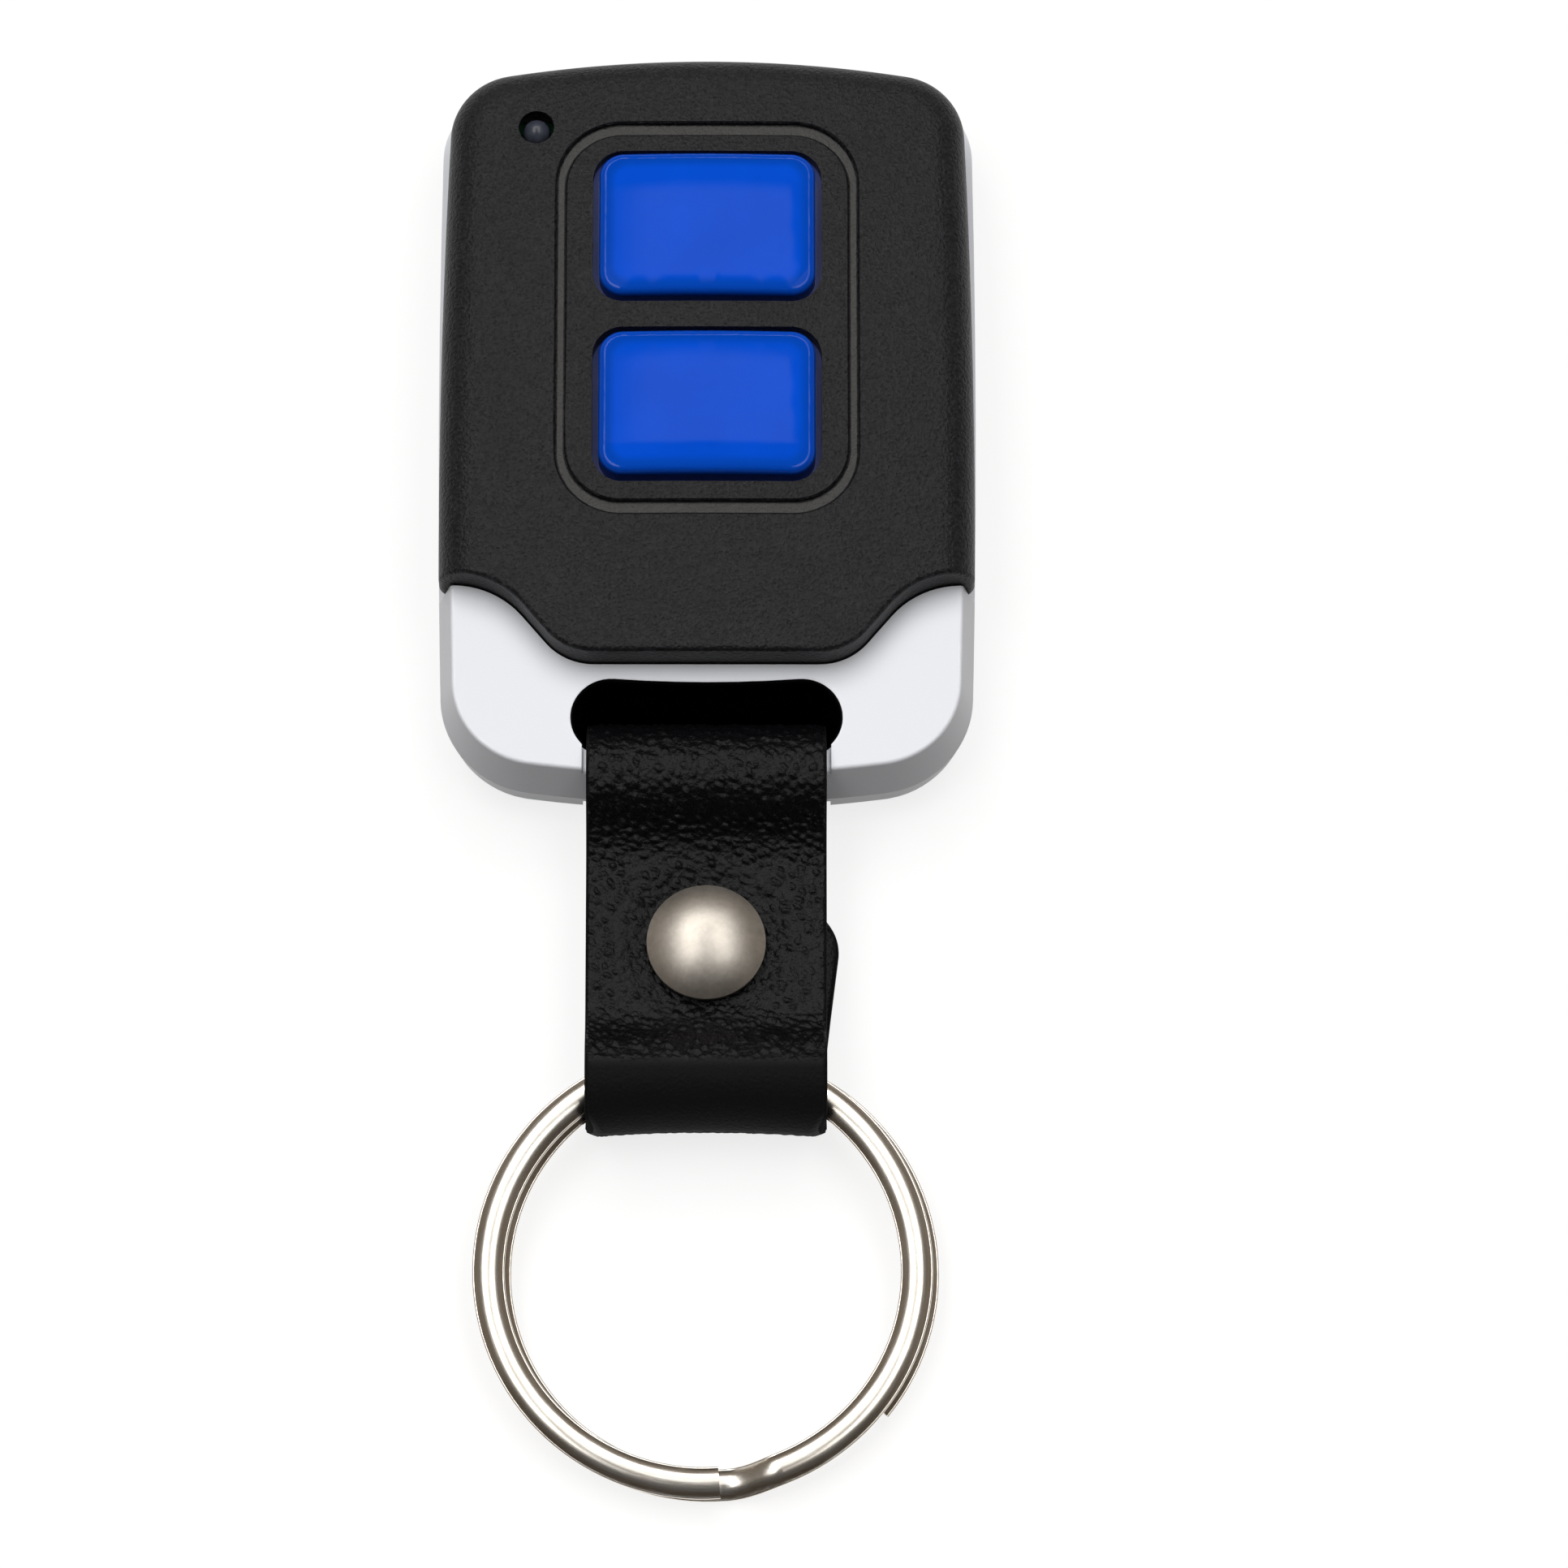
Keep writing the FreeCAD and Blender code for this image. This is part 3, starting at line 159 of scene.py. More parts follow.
def make_camera():
    """A long lens above the object, a little towards the ring and the left."""
    back = Vector((-math.sin(CAMERA_TURN) * math.sin(CAMERA_TILT),
                   -math.cos(CAMERA_TURN) * math.sin(CAMERA_TILT), math.cos(CAMERA_TILT)))
    right = Vector((0, 1, 0)).cross(back).normalized()
    up = back.cross(right)
    turned_right = right * math.cos(CAMERA_ROLL) + up * math.sin(CAMERA_ROLL)
    turned_up = up * math.cos(CAMERA_ROLL) - right * math.sin(CAMERA_ROLL)
    data = bpy.data.cameras.new("camera")
    data.lens = CAMERA_LENS
    data.sensor_width = CAMERA_SENSOR
    data.clip_start = CAMERA_CLIP
    camera = bpy.data.objects.new("camera", data)
    rows = Matrix((turned_right, turned_up, back)).transposed().to_4x4()
    rows.translation = CAMERA_TARGET + back * CAMERA_DISTANCE
    camera.matrix_world = rows
    bpy.context.scene.collection.objects.link(camera)
    bpy.context.scene.camera = camera


class Shader:
    """A small helper that builds one node material."""

    def __init__(self, name):
        self.material = bpy.data.materials.new(name)
        self.material.use_nodes = True
        self.tree = self.material.node_tree
        self.tree.nodes.clear()
        self.output = self.node("ShaderNodeOutputMaterial")

    def node(self, kind, **values):
        made = self.tree.nodes.new(kind)
        for key, value in values.items():
            setattr(made, key, value)
        return made

    def link(self, source, target):
        self.tree.links.new(source, target)

    def principled(self, **values):
        shader = self.node("ShaderNodeBsdfPrincipled")
        for key, value in values.items():
            shader.inputs[key.replace("_", " ")].default_value = value
        self.link(shader.outputs["BSDF"], self.output.inputs["Surface"])
        return shader

    def place(self, scale=(1, 1, 1)):
        """Object coordinates in millimetres, stretched by a scale."""
        where = self.node("ShaderNodeTexCoord")
        mapping = self.node("ShaderNodeMapping")
        mapping.inputs["Scale"].default_value = [1000 * value for value in scale]
        self.link(where.outputs["Object"], mapping.inputs["Vector"])
        return mapping.outputs["Vector"]

    def noise(self, place, scale, detail=3.0, roughness=0.5):
        made = self.node("ShaderNodeTexNoise")
        made.inputs["Scale"].default_value = scale
        made.inputs["Detail"].default_value = detail
        made.inputs["Roughness"].default_value = roughness
        self.link(place, made.inputs["Vector"])
        return made.outputs["Fac"]

    def voronoi(self, place, scale):
        made = self.node("ShaderNodeTexVoronoi", feature="SMOOTH_F1")
        made.inputs["Scale"].default_value = scale
        self.link(place, made.inputs["Vector"])
        return made.outputs["Distance"]

    def two_tone(self, source, low, high, colors):
        """The first colour up to low and the second from high on, with an even change between."""
        return self.ramp(source, [(low, colors[0]), (high, colors[1])])

    def ramp(self, source, stops):
        """A colour for each value, by stops of a position and a colour."""
        made = self.node("ShaderNodeValToRGB")
        made.color_ramp.elements[0].position = stops[0][0]
        made.color_ramp.elements[0].color = stops[0][1]
        made.color_ramp.elements[1].position = stops[-1][0]
        made.color_ramp.elements[1].color = stops[-1][1]
        for position, color in stops[1:-1]:
            made.color_ramp.elements.new(position).color = color
        self.link(source, made.inputs["Fac"])
        return made.outputs["Color"]

    def span(self, source, low, high):
        """A factor from 0 to 1 turned into a value from low to high."""
        made = self.node("ShaderNodeMapRange")
        made.inputs["To Min"].default_value = low
        made.inputs["To Max"].default_value = high
        self.link(source, made.inputs["Value"])
        return made.outputs["Result"]

    def math(self, operation, first, second=0.0):
        made = self.node("ShaderNodeMath", operation=operation)
        for index, value in enumerate((first, second)):
            if isinstance(value, (int, float)):
                made.inputs[index].default_value = value
            else:
                self.link(value, made.inputs[index])
        return made.outputs["Value"]

    def mix_color(self, factor, first, second, blend="MIX", clamped=True):
        """Two colours, each given or worked out by nodes, mixed by a factor."""
        made = self.node("ShaderNodeMix", data_type="RGBA", blend_type=blend, clamp_factor=clamped)
        if isinstance(factor, (int, float)):
            made.inputs["Factor"].default_value = factor
        else:
            self.link(factor, made.inputs["Factor"])
        for socket, value in ((made.inputs[6], first), (made.inputs[7], second)):
            if isinstance(value, tuple):
                socket.default_value = value
            else:
                self.link(value, socket)
        return made.outputs[2]

    def weighed(self, first, first_share, second, second_share):
        """The sum of two patterns, each times its share."""
        part = self.math("MULTIPLY", first, first_share)
        return self.math("ADD", part, self.math("MULTIPLY", second, second_share))

    def inside(self, value, middle, half):
        """1 where a value is within half of the middle, else 0."""
        return self.math("LESS_THAN", self.math("ABSOLUTE", self.math("SUBTRACT", value, middle)), half)

    def from_corners(self, across, along, half_x, half_y, corner):
        """How far past the centres of a rounded rectangle's corners a place is, given its
        distances from the rectangle's middle."""
        past_x = self.math("MAXIMUM", self.math("SUBTRACT", across, half_x - corner), 0.0)
        past_y = self.math("MAXIMUM", self.math("SUBTRACT", along, half_y - corner), 0.0)
        square = self.math("ADD", self.math("POWER", past_x, 2.0), self.math("POWER", past_y, 2.0))
        return self.math("SQRT", square)

    def black_slot_wall(self):
        """1 on the upright walls of the strap's slot, else 0."""
        where = self.node("ShaderNodeTexCoord")
        spot = self.node("ShaderNodeSeparateXYZ")
        self.link(where.outputs["Object"], spot.inputs["Vector"])
        facing = self.node("ShaderNodeSeparateXYZ")
        self.link(where.outputs["Normal"], facing.inputs["Vector"])
        across = self.inside(spot.outputs["X"], 0.0, SLOT_HALF_X * MM)
        along = self.inside(spot.outputs["Y"], SLOT_Y * MM, SLOT_HALF_Y * MM)
        upright = self.inside(facing.outputs["Z"], 0.0, SLOT_WALL_LEAN)
        return self.math("MULTIPLY", self.math("MULTIPLY", across, along), upright)

    def bump(self, shader, height, distance_mm, strength=1.0):
        """Fine relief on the surface, up to a depth in millimetres."""
        made = self.node("ShaderNodeBump")
        made.inputs["Distance"].default_value = distance_mm * MM
        made.inputs["Strength"].default_value = strength
        self.link(height, made.inputs["Height"])
        self.link(made.outputs["Normal"], shader.inputs["Normal"])


def grey(value):
    return (value, value, value, 1.0)


def grained_plastic(name, color, lighter, roughness, grain_mm, depth_mm):
    """Moulded plastic with a fine even grain."""
    s = Shader(name)
    shader = s.principled(IOR=1.5)
    place = s.place()
    speckle = s.noise(place, scale=1 / grain_mm, detail=2.0, roughness=0.6)
    s.link(s.two_tone(speckle, 0.35, 0.75, (color, lighter)), shader.inputs["Base Color"])
    cloud = s.noise(place, scale=0.35, detail=2.0)
    s.link(s.span(cloud, roughness - 0.05, roughness + 0.05), shader.inputs["Roughness"])
    s.bump(shader, speckle, depth_mm)
    return s.material


def cover_plastic():
    """Satin black plastic with a fine grain; the floor of the groove round the buttons is painted paler grey, a
    painted sheen.
    """
    s = Shader("black_cover")
    shader = s.principled(IOR=1.5, Specular_IOR_Level=0.18)
    where = s.node("ShaderNodeTexCoord")
    spot = s.node("ShaderNodeSeparateXYZ")
    s.link(where.outputs["Object"], spot.inputs["Vector"])
    across = s.math("ABSOLUTE", spot.outputs["X"])
    along = s.math("ABSOLUTE", s.math("SUBTRACT", spot.outputs["Y"], GROOVE_Y * MM))
    outer = s.from_corners(across, along, GROOVE_HALF_X * MM, GROOVE_HALF_Y * MM, GROOVE_R * MM)
    inner_r = GROOVE_R - GROOVE_SIDE
    inner_half_x = GROOVE_HALF_X - GROOVE_SIDE
    inner_half_y = GROOVE_HALF_Y - GROOVE_END
    inner = s.from_corners(across, along, inner_half_x * MM, inner_half_y * MM, inner_r * MM)
    # floor: the groove's floor, which gets a paler grey as a painted sheen
    floor = s.math("MULTIPLY", s.math("LESS_THAN", outer, (GROOVE_R - GROOVE_INSET) * MM),
                   s.math("GREATER_THAN", inner, (inner_r + GROOVE_INSET) * MM))
    place = s.place()
    speckle = s.noise(place, scale=4.5, detail=2.0, roughness=0.6)
    grain = s.two_tone(speckle, 0.35, 0.75, COVER_BLACK)
    s.link(s.mix_color(floor, grain, GROOVE_PAINTED_SHEEN), shader.inputs["Base Color"])
    cloud = s.noise(place, scale=0.35, detail=2.0)
    s.link(s.span(cloud, low=0.35, high=0.45), shader.inputs["Roughness"])
    s.bump(shader, speckle, distance_mm=0.12)
    return s.material


def silver_lacquer():
    """Pale lacquer with a fine metallic flake; the upright walls of the strap's slot are coloured black."""
    s = Shader("silver_lacquer")
    shader = s.principled(IOR=1.5, Specular_IOR_Level=0.12)
    place = s.place()
    flake = s.noise(place, scale=14.0, detail=2.0, roughness=0.7)
    silver = s.two_tone(flake, 0.3, 0.7, SILVER)
    # bare: 1 on the slot's upright walls, which are coloured black instead of silver
    bare = s.black_slot_wall()
    s.link(s.mix_color(bare, silver, SLOT_WALL_BLACK), shader.inputs["Base Color"])
    lacquered = s.math("SUBTRACT", 1.0, bare)
    s.link(s.math("MULTIPLY", lacquered, SILVER_METALLIC), shader.inputs["Metallic"])
    cloud = s.noise(place, scale=0.3, detail=2.0)
    s.link(s.span(cloud, low=0.30, high=0.36), shader.inputs["Roughness"])
    s.bump(shader, flake, distance_mm=0.004, strength=0.5)
    return s.material


def blue_gel():
    """Blue under a thick clear gloss, deeper in a band along the rim of each button."""
    s = Shader("blue_gel")
    shader = s.principled(IOR=1.5, Specular_IOR_Level=0.16)
    upper_low, upper_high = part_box("upper_button_dome")
    lower_low, lower_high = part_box("lower_button_dome")
    half = (upper_high - upper_low) / 2
    where = s.node("ShaderNodeTexCoord")
    spot = s.node("ShaderNodeSeparateXYZ")
    s.link(where.outputs["Object"], spot.inputs["Vector"])
    across = s.math("ABSOLUTE", spot.outputs["X"])
    upper_y = (upper_low.y + upper_high.y) / 2
    lower_y = (lower_low.y + lower_high.y) / 2
    from_upper = s.math("ABSOLUTE", s.math("SUBTRACT", spot.outputs["Y"], upper_y))
    from_lower = s.math("ABSOLUTE", s.math("SUBTRACT", spot.outputs["Y"], lower_y))
    along = s.math("MINIMUM", from_upper, from_lower)
    corner = GEL_CORNER_R * MM
    reach = s.from_corners(across, along, half.x, half.y, corner)
    rim = s.node("ShaderNodeMapRange", interpolation_type="SMOOTHSTEP")
    rim.inputs["From Min"].default_value = corner - (GEL_RIM + GEL_RIM_BLUR) * MM
    rim.inputs["From Max"].default_value = corner - (GEL_RIM - GEL_RIM_BLUR) * MM
    s.link(reach, rim.inputs["Value"])
    place = s.place()
    cloud = s.noise(place, scale=0.25, detail=2.0)
    blue = s.two_tone(cloud, 0.3, 0.7, GEL_BLUE)
    s.link(s.mix_color(rim.outputs["Result"], blue, GEL_RIM_BLUE), shader.inputs["Base Color"])
    ripple = s.noise(place, scale=0.6, detail=1.0)
    s.link(s.span(ripple, low=0.01, high=0.02), shader.inputs["Roughness"])
    s.bump(shader, ripple, distance_mm=0.003, strength=0.3)
    return s.material


def smoked_lens():
    """The lamp's dark clear dome."""
    s = Shader("smoked_lens")
    shader = s.principled(IOR=1.5, Specular_IOR_Level=0.3)
    place = s.place()
    cloud = s.noise(place, scale=1.5, detail=2.0)
    s.link(s.two_tone(cloud, 0.3, 0.7, LENS_SMOKE), shader.inputs["Base Color"])
    s.link(s.span(cloud, low=0.22, high=0.32), shader.inputs["Roughness"])
    return s.material


def black_leather():
    """Finished leather with raw cut edges: the pebbles are in the mesh, and fine pores are in the bump."""
    s = Shader("black_leather")
    shader = s.principled(IOR=1.5, Specular_IOR_Level=0.12)
    place = s.place()
    pores = s.voronoi(place, scale=4.5)
    fine = s.noise(place, scale=9.0, detail=4.0, roughness=0.6)
    height = s.weighed(pores, 0.7, fine, 0.5)
    s.link(s.two_tone(fine, 0.3, 0.75, LEATHER_BLACK), shader.inputs["Base Color"])
    facing = s.node("ShaderNodeTexCoord")
    normal = s.node("ShaderNodeSeparateXYZ")
    s.link(facing.outputs["Normal"], normal.inputs["Vector"])
    cut_edge = s.math("GREATER_THAN", s.math("ABSOLUTE", normal.outputs["X"]), RAW_EDGE_LEAN)
    spot = s.node("ShaderNodeSeparateXYZ")
    s.link(facing.outputs["Object"], spot.inputs["Vector"])
    roll = s.node("ShaderNodeMapRange", interpolation_type="SMOOTHSTEP")
    roll.inputs["From Min"].default_value = ROLL_START_Y * MM
    roll.inputs["From Max"].default_value = ROLL_Y * MM
    roll.inputs["To Max"].default_value = ROLL_ROUGHNESS
    s.link(spot.outputs["Y"], roll.inputs["Value"])
    dull = s.math("MAXIMUM", roll.outputs["Result"], cut_edge)
    s.link(s.math("MAXIMUM", s.span(fine, low=0.20, high=0.32), dull), shader.inputs["Roughness"])
    s.bump(shader, height, distance_mm=0.08, strength=0.8)
    return s.material


def metal(name, dark, light, rough_low, rough_high, scale, cloud_scale):
    """Plated or bare metal: slow patches of tone over fine rubbing marks."""
    s = Shader(name)
    shader = s.principled(Metallic=1.0)
    place = s.place(scale)
    marks = s.noise(place, scale=1.0, detail=5.0, roughness=0.65)
    cloud = s.noise(s.place(), cloud_scale)
    tone = s.weighed(marks, 0.45, cloud, 0.55)
    s.link(s.two_tone(tone, 0.35, 0.65, (dark, light)), shader.inputs["Base Color"])
    s.link(s.span(marks, rough_low, rough_high), shader.inputs["Roughness"])
    s.bump(shader, marks, METAL_MARKS, strength=0.5)
    return s.material


def ring_nickel():
    """Bright nickel wire with faint drawn lines that run round the ring."""
    s = Shader("ring_nickel")
    shader = s.principled(Metallic=1.0)
    low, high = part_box("split_ring")
    middle = (low + high) / 2
    hinge = Vector(joints["ring_swing"]["pos_m"])
    tilt = math.atan2(hinge.z - middle.z, hinge.y - middle.y)
    where = s.node("ShaderNodeTexCoord")
    flat = s.node("ShaderNodeMapping", vector_type="TEXTURE")
    flat.inputs["Location"].default_value = middle
    flat.inputs["Rotation"].default_value = (tilt, 0, 0)
    s.link(where.outputs["Object"], flat.inputs["Vector"])
    parts = s.node("ShaderNodeSeparateXYZ")
    s.link(flat.outputs["Vector"], parts.inputs["Vector"])
    turn = s.math("ARCTAN2", parts.outputs["Y"], parts.outputs["X"])
    square_x = s.math("POWER", parts.outputs["X"], 2.0)
    square_y = s.math("POWER", parts.outputs["Y"], 2.0)
    reach = s.math("SQRT", s.math("ADD", square_x, square_y))
    drawn = s.node("ShaderNodeCombineXYZ")
    s.link(s.math("MULTIPLY", reach, DRAWN_ACROSS), drawn.inputs["X"])
    s.link(s.math("MULTIPLY", parts.outputs["Z"], DRAWN_ACROSS), drawn.inputs["Y"])
    s.link(s.math("MULTIPLY", turn, DRAWN_ROUND), drawn.inputs["Z"])
    lines = s.noise(drawn.outputs["Vector"], scale=1.0, roughness=0.6)
    cloud = s.noise(s.place(), scale=0.3)
    tone = s.weighed(lines, 0.5, cloud, 0.5)
    s.link(s.two_tone(tone, 0.35, 0.65, RING_TONES), shader.inputs["Base Color"])
    s.link(s.span(lines, low=0.18, high=0.28), shader.inputs["Roughness"])
    s.bump(shader, lines, METAL_MARKS, strength=0.5)
    return s.material


def make_materials():
    """One material for each slot of the record."""
    materials = {
        "silver_shell": silver_lacquer(),
        "black_cover": cover_plastic(),
        "blue_gel": blue_gel(),
        "smoked_lens": smoked_lens(),
        "black_leather": black_leather(),
        "ring_nickel": ring_nickel(),
    }
    for name, values in PLASTICS.items():
        materials[name] = grained_plastic(name, *values)
    for name, values in METALS.items():
        materials[name] = metal(name, *values)
    return materials


def dress_nodes(materials):
    """Gives every carried-over CAD node the material of its slot."""
    slots = {entry["node"]: entry["material_slot"] for entry in frame["record"]["subparts"]}
    for name, node in nodes.items():
        node.data.materials.clear()
        node.data.materials.append(materials[slots[name]])


# Leather strap, in millimetres, on the same line as the CAD strap
LEATHER_T = 1.1
PLY_STEP = 1.2
STACK_Z = 3.95
BAR_LOOP_R = 2.85
RING_LOOP_R = 2.62
BEND_UPPER = 5.0
BEND_LOWER = 4.0
TAIL_UPPER_END = -40.4
TAIL_LOWER_END = -32.4
TAIL_SKEW = 1.2
TAIL_END_R = 3.5
STRAP_HALF = 7.8
STRAP_CORNER = 0.85
EDGE_R = 0.28

# The hollow of the lower fold, the dish round the rivet, and how near the front ply's level its face stays
FOLD_HOLLOW = 0.35
FOLD_REACH = 3.0
DISH_DEPTH = 0.3
DISH_REACH = 2.0
FRONT_NEAR = 3.0

# The finish: the lean past which a face is raw cut edge, and where the roll over the ring turns dull
RAW_EDGE_LEAN = 0.6
ROLL_START_Y = -43.3
ROLL_Y = -44.7
ROLL_ROUGHNESS = 0.7

# The leather's mesh: the step along it and across its face, and the points on its back and its edges
GRAIN_STEP = 0.12
INNER_COLUMNS = 24
EDGE_POINTS = 4

# The pebbles: the slant of their rows, pebbles per millimetre along and across a row, and their unevenness
GRAIN_COS = math.cos(math.radians(35))
GRAIN_SIN = math.sin(math.radians(35))
GRAIN_FINE = 1.45
GRAIN_LONG = 2.1
GRAIN_LAYER = 3.0
WARP_SCALE = 0.6
WARP = 0.4
WARP_SEED = 7

# The pebbles' depth in millimetres, its shares on the front, at the bends and on the back, and the
# stretches of Y over which it fades in at the roll and rises and falls at the two bends
GRAIN_DEPTH = 0.20
FRONT_GRAIN = 0.8
BEND_GRAIN = 0.2
BACK_GRAIN = 0.35
ROLL_FADE = (-44.6, -43.4)
UPPER_BEND = ((-34.5, -31.0), (-26.0, -23.0))
LOWER_BEND = ((-44.2, -43.0), (-41.5, -40.0))


def arc_points(centre, radius, start, end, step):
    """Points and directions along an arc in the YZ plane; angles in radians from +Y towards +Z."""
    count = max(2, round(abs(end - start) * radius / step))
    turn = 1 if end > start else -1
    found = []
    for index in range(count):
        angle = start + (end - start) * index / count
        place = (centre[0] + radius * math.cos(angle), centre[1] + radius * math.sin(angle))
        found.append((place, (-math.sin(angle) * turn, math.cos(angle) * turn)))
    return found


def line_points(start, end, step):
    """Points and directions along a straight run in the YZ plane."""
    length = math.hypot(end[0] - start[0], end[1] - start[1])
    count = max(2, round(length / step))
    along = ((end[0] - start[0]) / length, (end[1] - start[1]) / length)
    return [((start[0] + along[0] * length * i / count, start[1] + along[1] * length * i / count), along)
            for i in range(count)]


def bend(loop, loop_r, level, bend_r, side, up):
    """The bend between a loop and a straight run: its centre and the angle on the loop where they join."""
    centre_z = level + bend_r * up
    rise = centre_z - loop[1]
    run = math.sqrt((loop_r + bend_r) ** 2 - rise ** 2)
    centre = (loop[0] + side * run, centre_z)
    return centre, math.atan2(rise, side * run)


def strap_line():
    """The leather's middle line as points with directions, and the index where the lower tail starts."""
    bar = tuple(value / MM for value in joints["strap_swing"]["pos_m"][1:])
    ring = tuple(value / MM for value in joints["ring_swing"]["pos_m"][1:])
    front = STACK_Z + PLY_STEP
    back = STACK_Z - PLY_STEP
    bar_r = BAR_LOOP_R + LEATHER_T / 2
    ring_r = RING_LOOP_R + LEATHER_T / 2
    quarter = math.pi / 2
    a_centre, a_angle = bend(bar, bar_r, STACK_Z, BEND_UPPER, -1, -1)
    b_centre, b_angle = bend(bar, bar_r, front, BEND_UPPER, -1, 1)
    c_centre, c_angle = bend(ring, ring_r, front, BEND_LOWER, 1, 1)
    d_centre, d_angle = bend(ring, ring_r, back, BEND_LOWER, 1, -1)
    step = GRAIN_STEP
    line = line_points((TAIL_UPPER_END, STACK_Z), (a_centre[0], STACK_Z), step)
    line += arc_points(a_centre, BEND_UPPER, quarter, a_angle + math.pi, step)
    line += arc_points(bar, bar_r, a_angle, b_angle, step)
    line += arc_points(b_centre, BEND_UPPER, b_angle - math.pi, -quarter, step)
    line += line_points((b_centre[0], front), (c_centre[0], front), step)
    line += arc_points(c_centre, BEND_LOWER, -quarter, c_angle - math.pi, step)
    line += arc_points(ring, ring_r, c_angle, d_angle + 2 * math.pi, step)
    tail_start = len(line)
    line += arc_points(d_centre, BEND_LOWER, d_angle + math.pi, quarter, step)
    line += line_points((d_centre[0], back), (TAIL_LOWER_END, back), step)
    line.append(((TAIL_LOWER_END, back), (1.0, 0.0)))
    return line, tail_start


def smooth(value, start, end):
    """0 before the start, 1 past the end, and an even rise between them."""
    share = min(1.0, max(0.0, (value - start) / (end - start)))
    return share * share * (3 - 2 * share)


def pebble(x, along):
    """Height of the leather's pebbles at a place on the strap, from 0 in the creases to 1."""
    slant_x = x * GRAIN_COS + along * GRAIN_SIN
    slant_y = along * GRAIN_COS - x * GRAIN_SIN
    spot = Vector((slant_x * GRAIN_FINE, slant_y * GRAIN_LONG, GRAIN_LAYER))
    spot += noise.noise_vector(spot * WARP_SCALE) * WARP
    near, far = noise.voronoi(spot)[0][:2]
    share = (far - near) / (far + near)
    return 1 - (1 - share) ** 2


def grain_depth(y, on_front):
    """How deep the pebbles are: deepest at the two bends, none on the lower roll, slight on the back."""
    if not on_front:
        return GRAIN_DEPTH * BACK_GRAIN
    share = FRONT_GRAIN * smooth(y, *ROLL_FADE)
    for rise, fall in (UPPER_BEND, LOWER_BEND):
        share += BEND_GRAIN * (smooth(y, *rise) * (1 - smooth(y, *fall)))
    return GRAIN_DEPTH * share


def strap_section():
    """The strap's section as (share of half width, edge offset, share of half thickness, side) points."""
    points = []
    columns = round(2 * (STRAP_HALF - EDGE_R) / GRAIN_STEP)
    for index in range(columns + 1):
        points.append((-1 + 2 * index / columns, 0.0, 1.0, "outer"))
    for index in range(1, EDGE_POINTS):
        angle = math.pi * index / EDGE_POINTS
        points.append((1.0, math.sin(angle), math.cos(angle), "edge"))
    for index in range(INNER_COLUMNS + 1):
        points.append((1 - 2 * index / INNER_COLUMNS, 0.0, -1.0, "inner"))
    for index in range(1, EDGE_POINTS):
        angle = math.pi * index / EDGE_POINTS
        points.append((-1.0, -math.sin(angle), -math.cos(angle), "edge"))
    return points


def build_mesh(name, vertices, faces, material, smooth_faces=True):
    """A mesh object from points in millimetres."""
    mesh = bpy.data.meshes.new(name)
    mesh.from_pydata([Vector(point) * MM for point in vertices], [], faces)
    mesh.validate()
    if smooth_faces:
        mesh.polygons.foreach_set("use_smooth", [True] * len(mesh.polygons))
    mesh.materials.append(material)
    made = bpy.data.objects.new(name, mesh)
    bpy.context.scene.collection.objects.link(made)
    return made


def tail_share(end_gap):
    """The strap's width near its round lower tail, as a share of its full width."""
    if end_gap >= TAIL_END_R:
        return 1.0
    rounding = TAIL_END_R - math.sqrt(TAIL_END_R ** 2 - (TAIL_END_R - end_gap) ** 2)
    return (STRAP_HALF - rounding) / STRAP_HALF


def strap_vertices(line, tail_start, section):
    """The leather's surface in millimetres, one ring of section points after another."""
    rivet_low, rivet_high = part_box("rivet_cap")
    rivet_y = (rivet_low.y + rivet_high.y) / 2 / MM
    rivet_r = (rivet_high.x - rivet_low.x) / 2 / MM
    low_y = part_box("strap")[0].y / MM
    front = STACK_Z + PLY_STEP
    tail_y = line[tail_start][0][0]
    vertices = []
    for station, ((y, z), (dy, dz)) in enumerate(line):
        along = station * GRAIN_STEP
        width = tail_share((len(line) - 1 - station) * GRAIN_STEP)
        skew = 0.0
        if station >= tail_start:
            skew = (y - tail_y) / (TAIL_LOWER_END - tail_y) * TAIL_SKEW
        on_front = abs(z - front) < FRONT_NEAR and dy < 0
        for wide, edge, thick, side in section:
            x = (wide * (STRAP_HALF - EDGE_R) + edge * EDGE_R) * width
            lift = thick * LEATHER_T / 2
            if side == "outer":
                lift -= grain_depth(y, on_front) * (1 - pebble(x, along))
                if on_front:
                    away = math.hypot(x, y - rivet_y)
                    lift -= DISH_DEPTH * smooth(rivet_r + DISH_REACH - away, 0.0, DISH_REACH)
            py = y + dz * lift
            pz = z - dy * lift
            corner = max(0.0, low_y + STRAP_CORNER - py)
            x *= (STRAP_HALF - corner) / STRAP_HALF
            fold = max(0.0, 1 - (py - low_y) / FOLD_REACH)
            py += FOLD_HOLLOW * fold * (1 - (x / STRAP_HALF) ** 2)
            vertices.append((x + skew, py, pz))
    return vertices


def band_faces(rings, ring):
    """The faces of a closed band: four-sided ones between its rings, and a cap on each end."""
    faces = []
    for station in range(rings - 1):
        first = station * ring
        for index in range(ring):
            after = (index + 1) % ring
            faces.append((first + index, first + ring + index, first + ring + after, first + after))
    faces.append(tuple(range(ring)))
    faces.append(tuple(reversed(range((rings - 1) * ring, rings * ring))))
    return faces


def make_strap(material):
    """The strap: one band of leather with rounded edges, pebbled on its face and dished round the rivet."""
    noise.seed_set(WARP_SEED)
    line, tail_start = strap_line()
    section = strap_section()
    vertices = strap_vertices(line, tail_start, section)
    strap = build_mesh("leather_strap", vertices, band_faces(len(line), len(section)), material)
    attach(strap, "strap")
    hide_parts("strap")


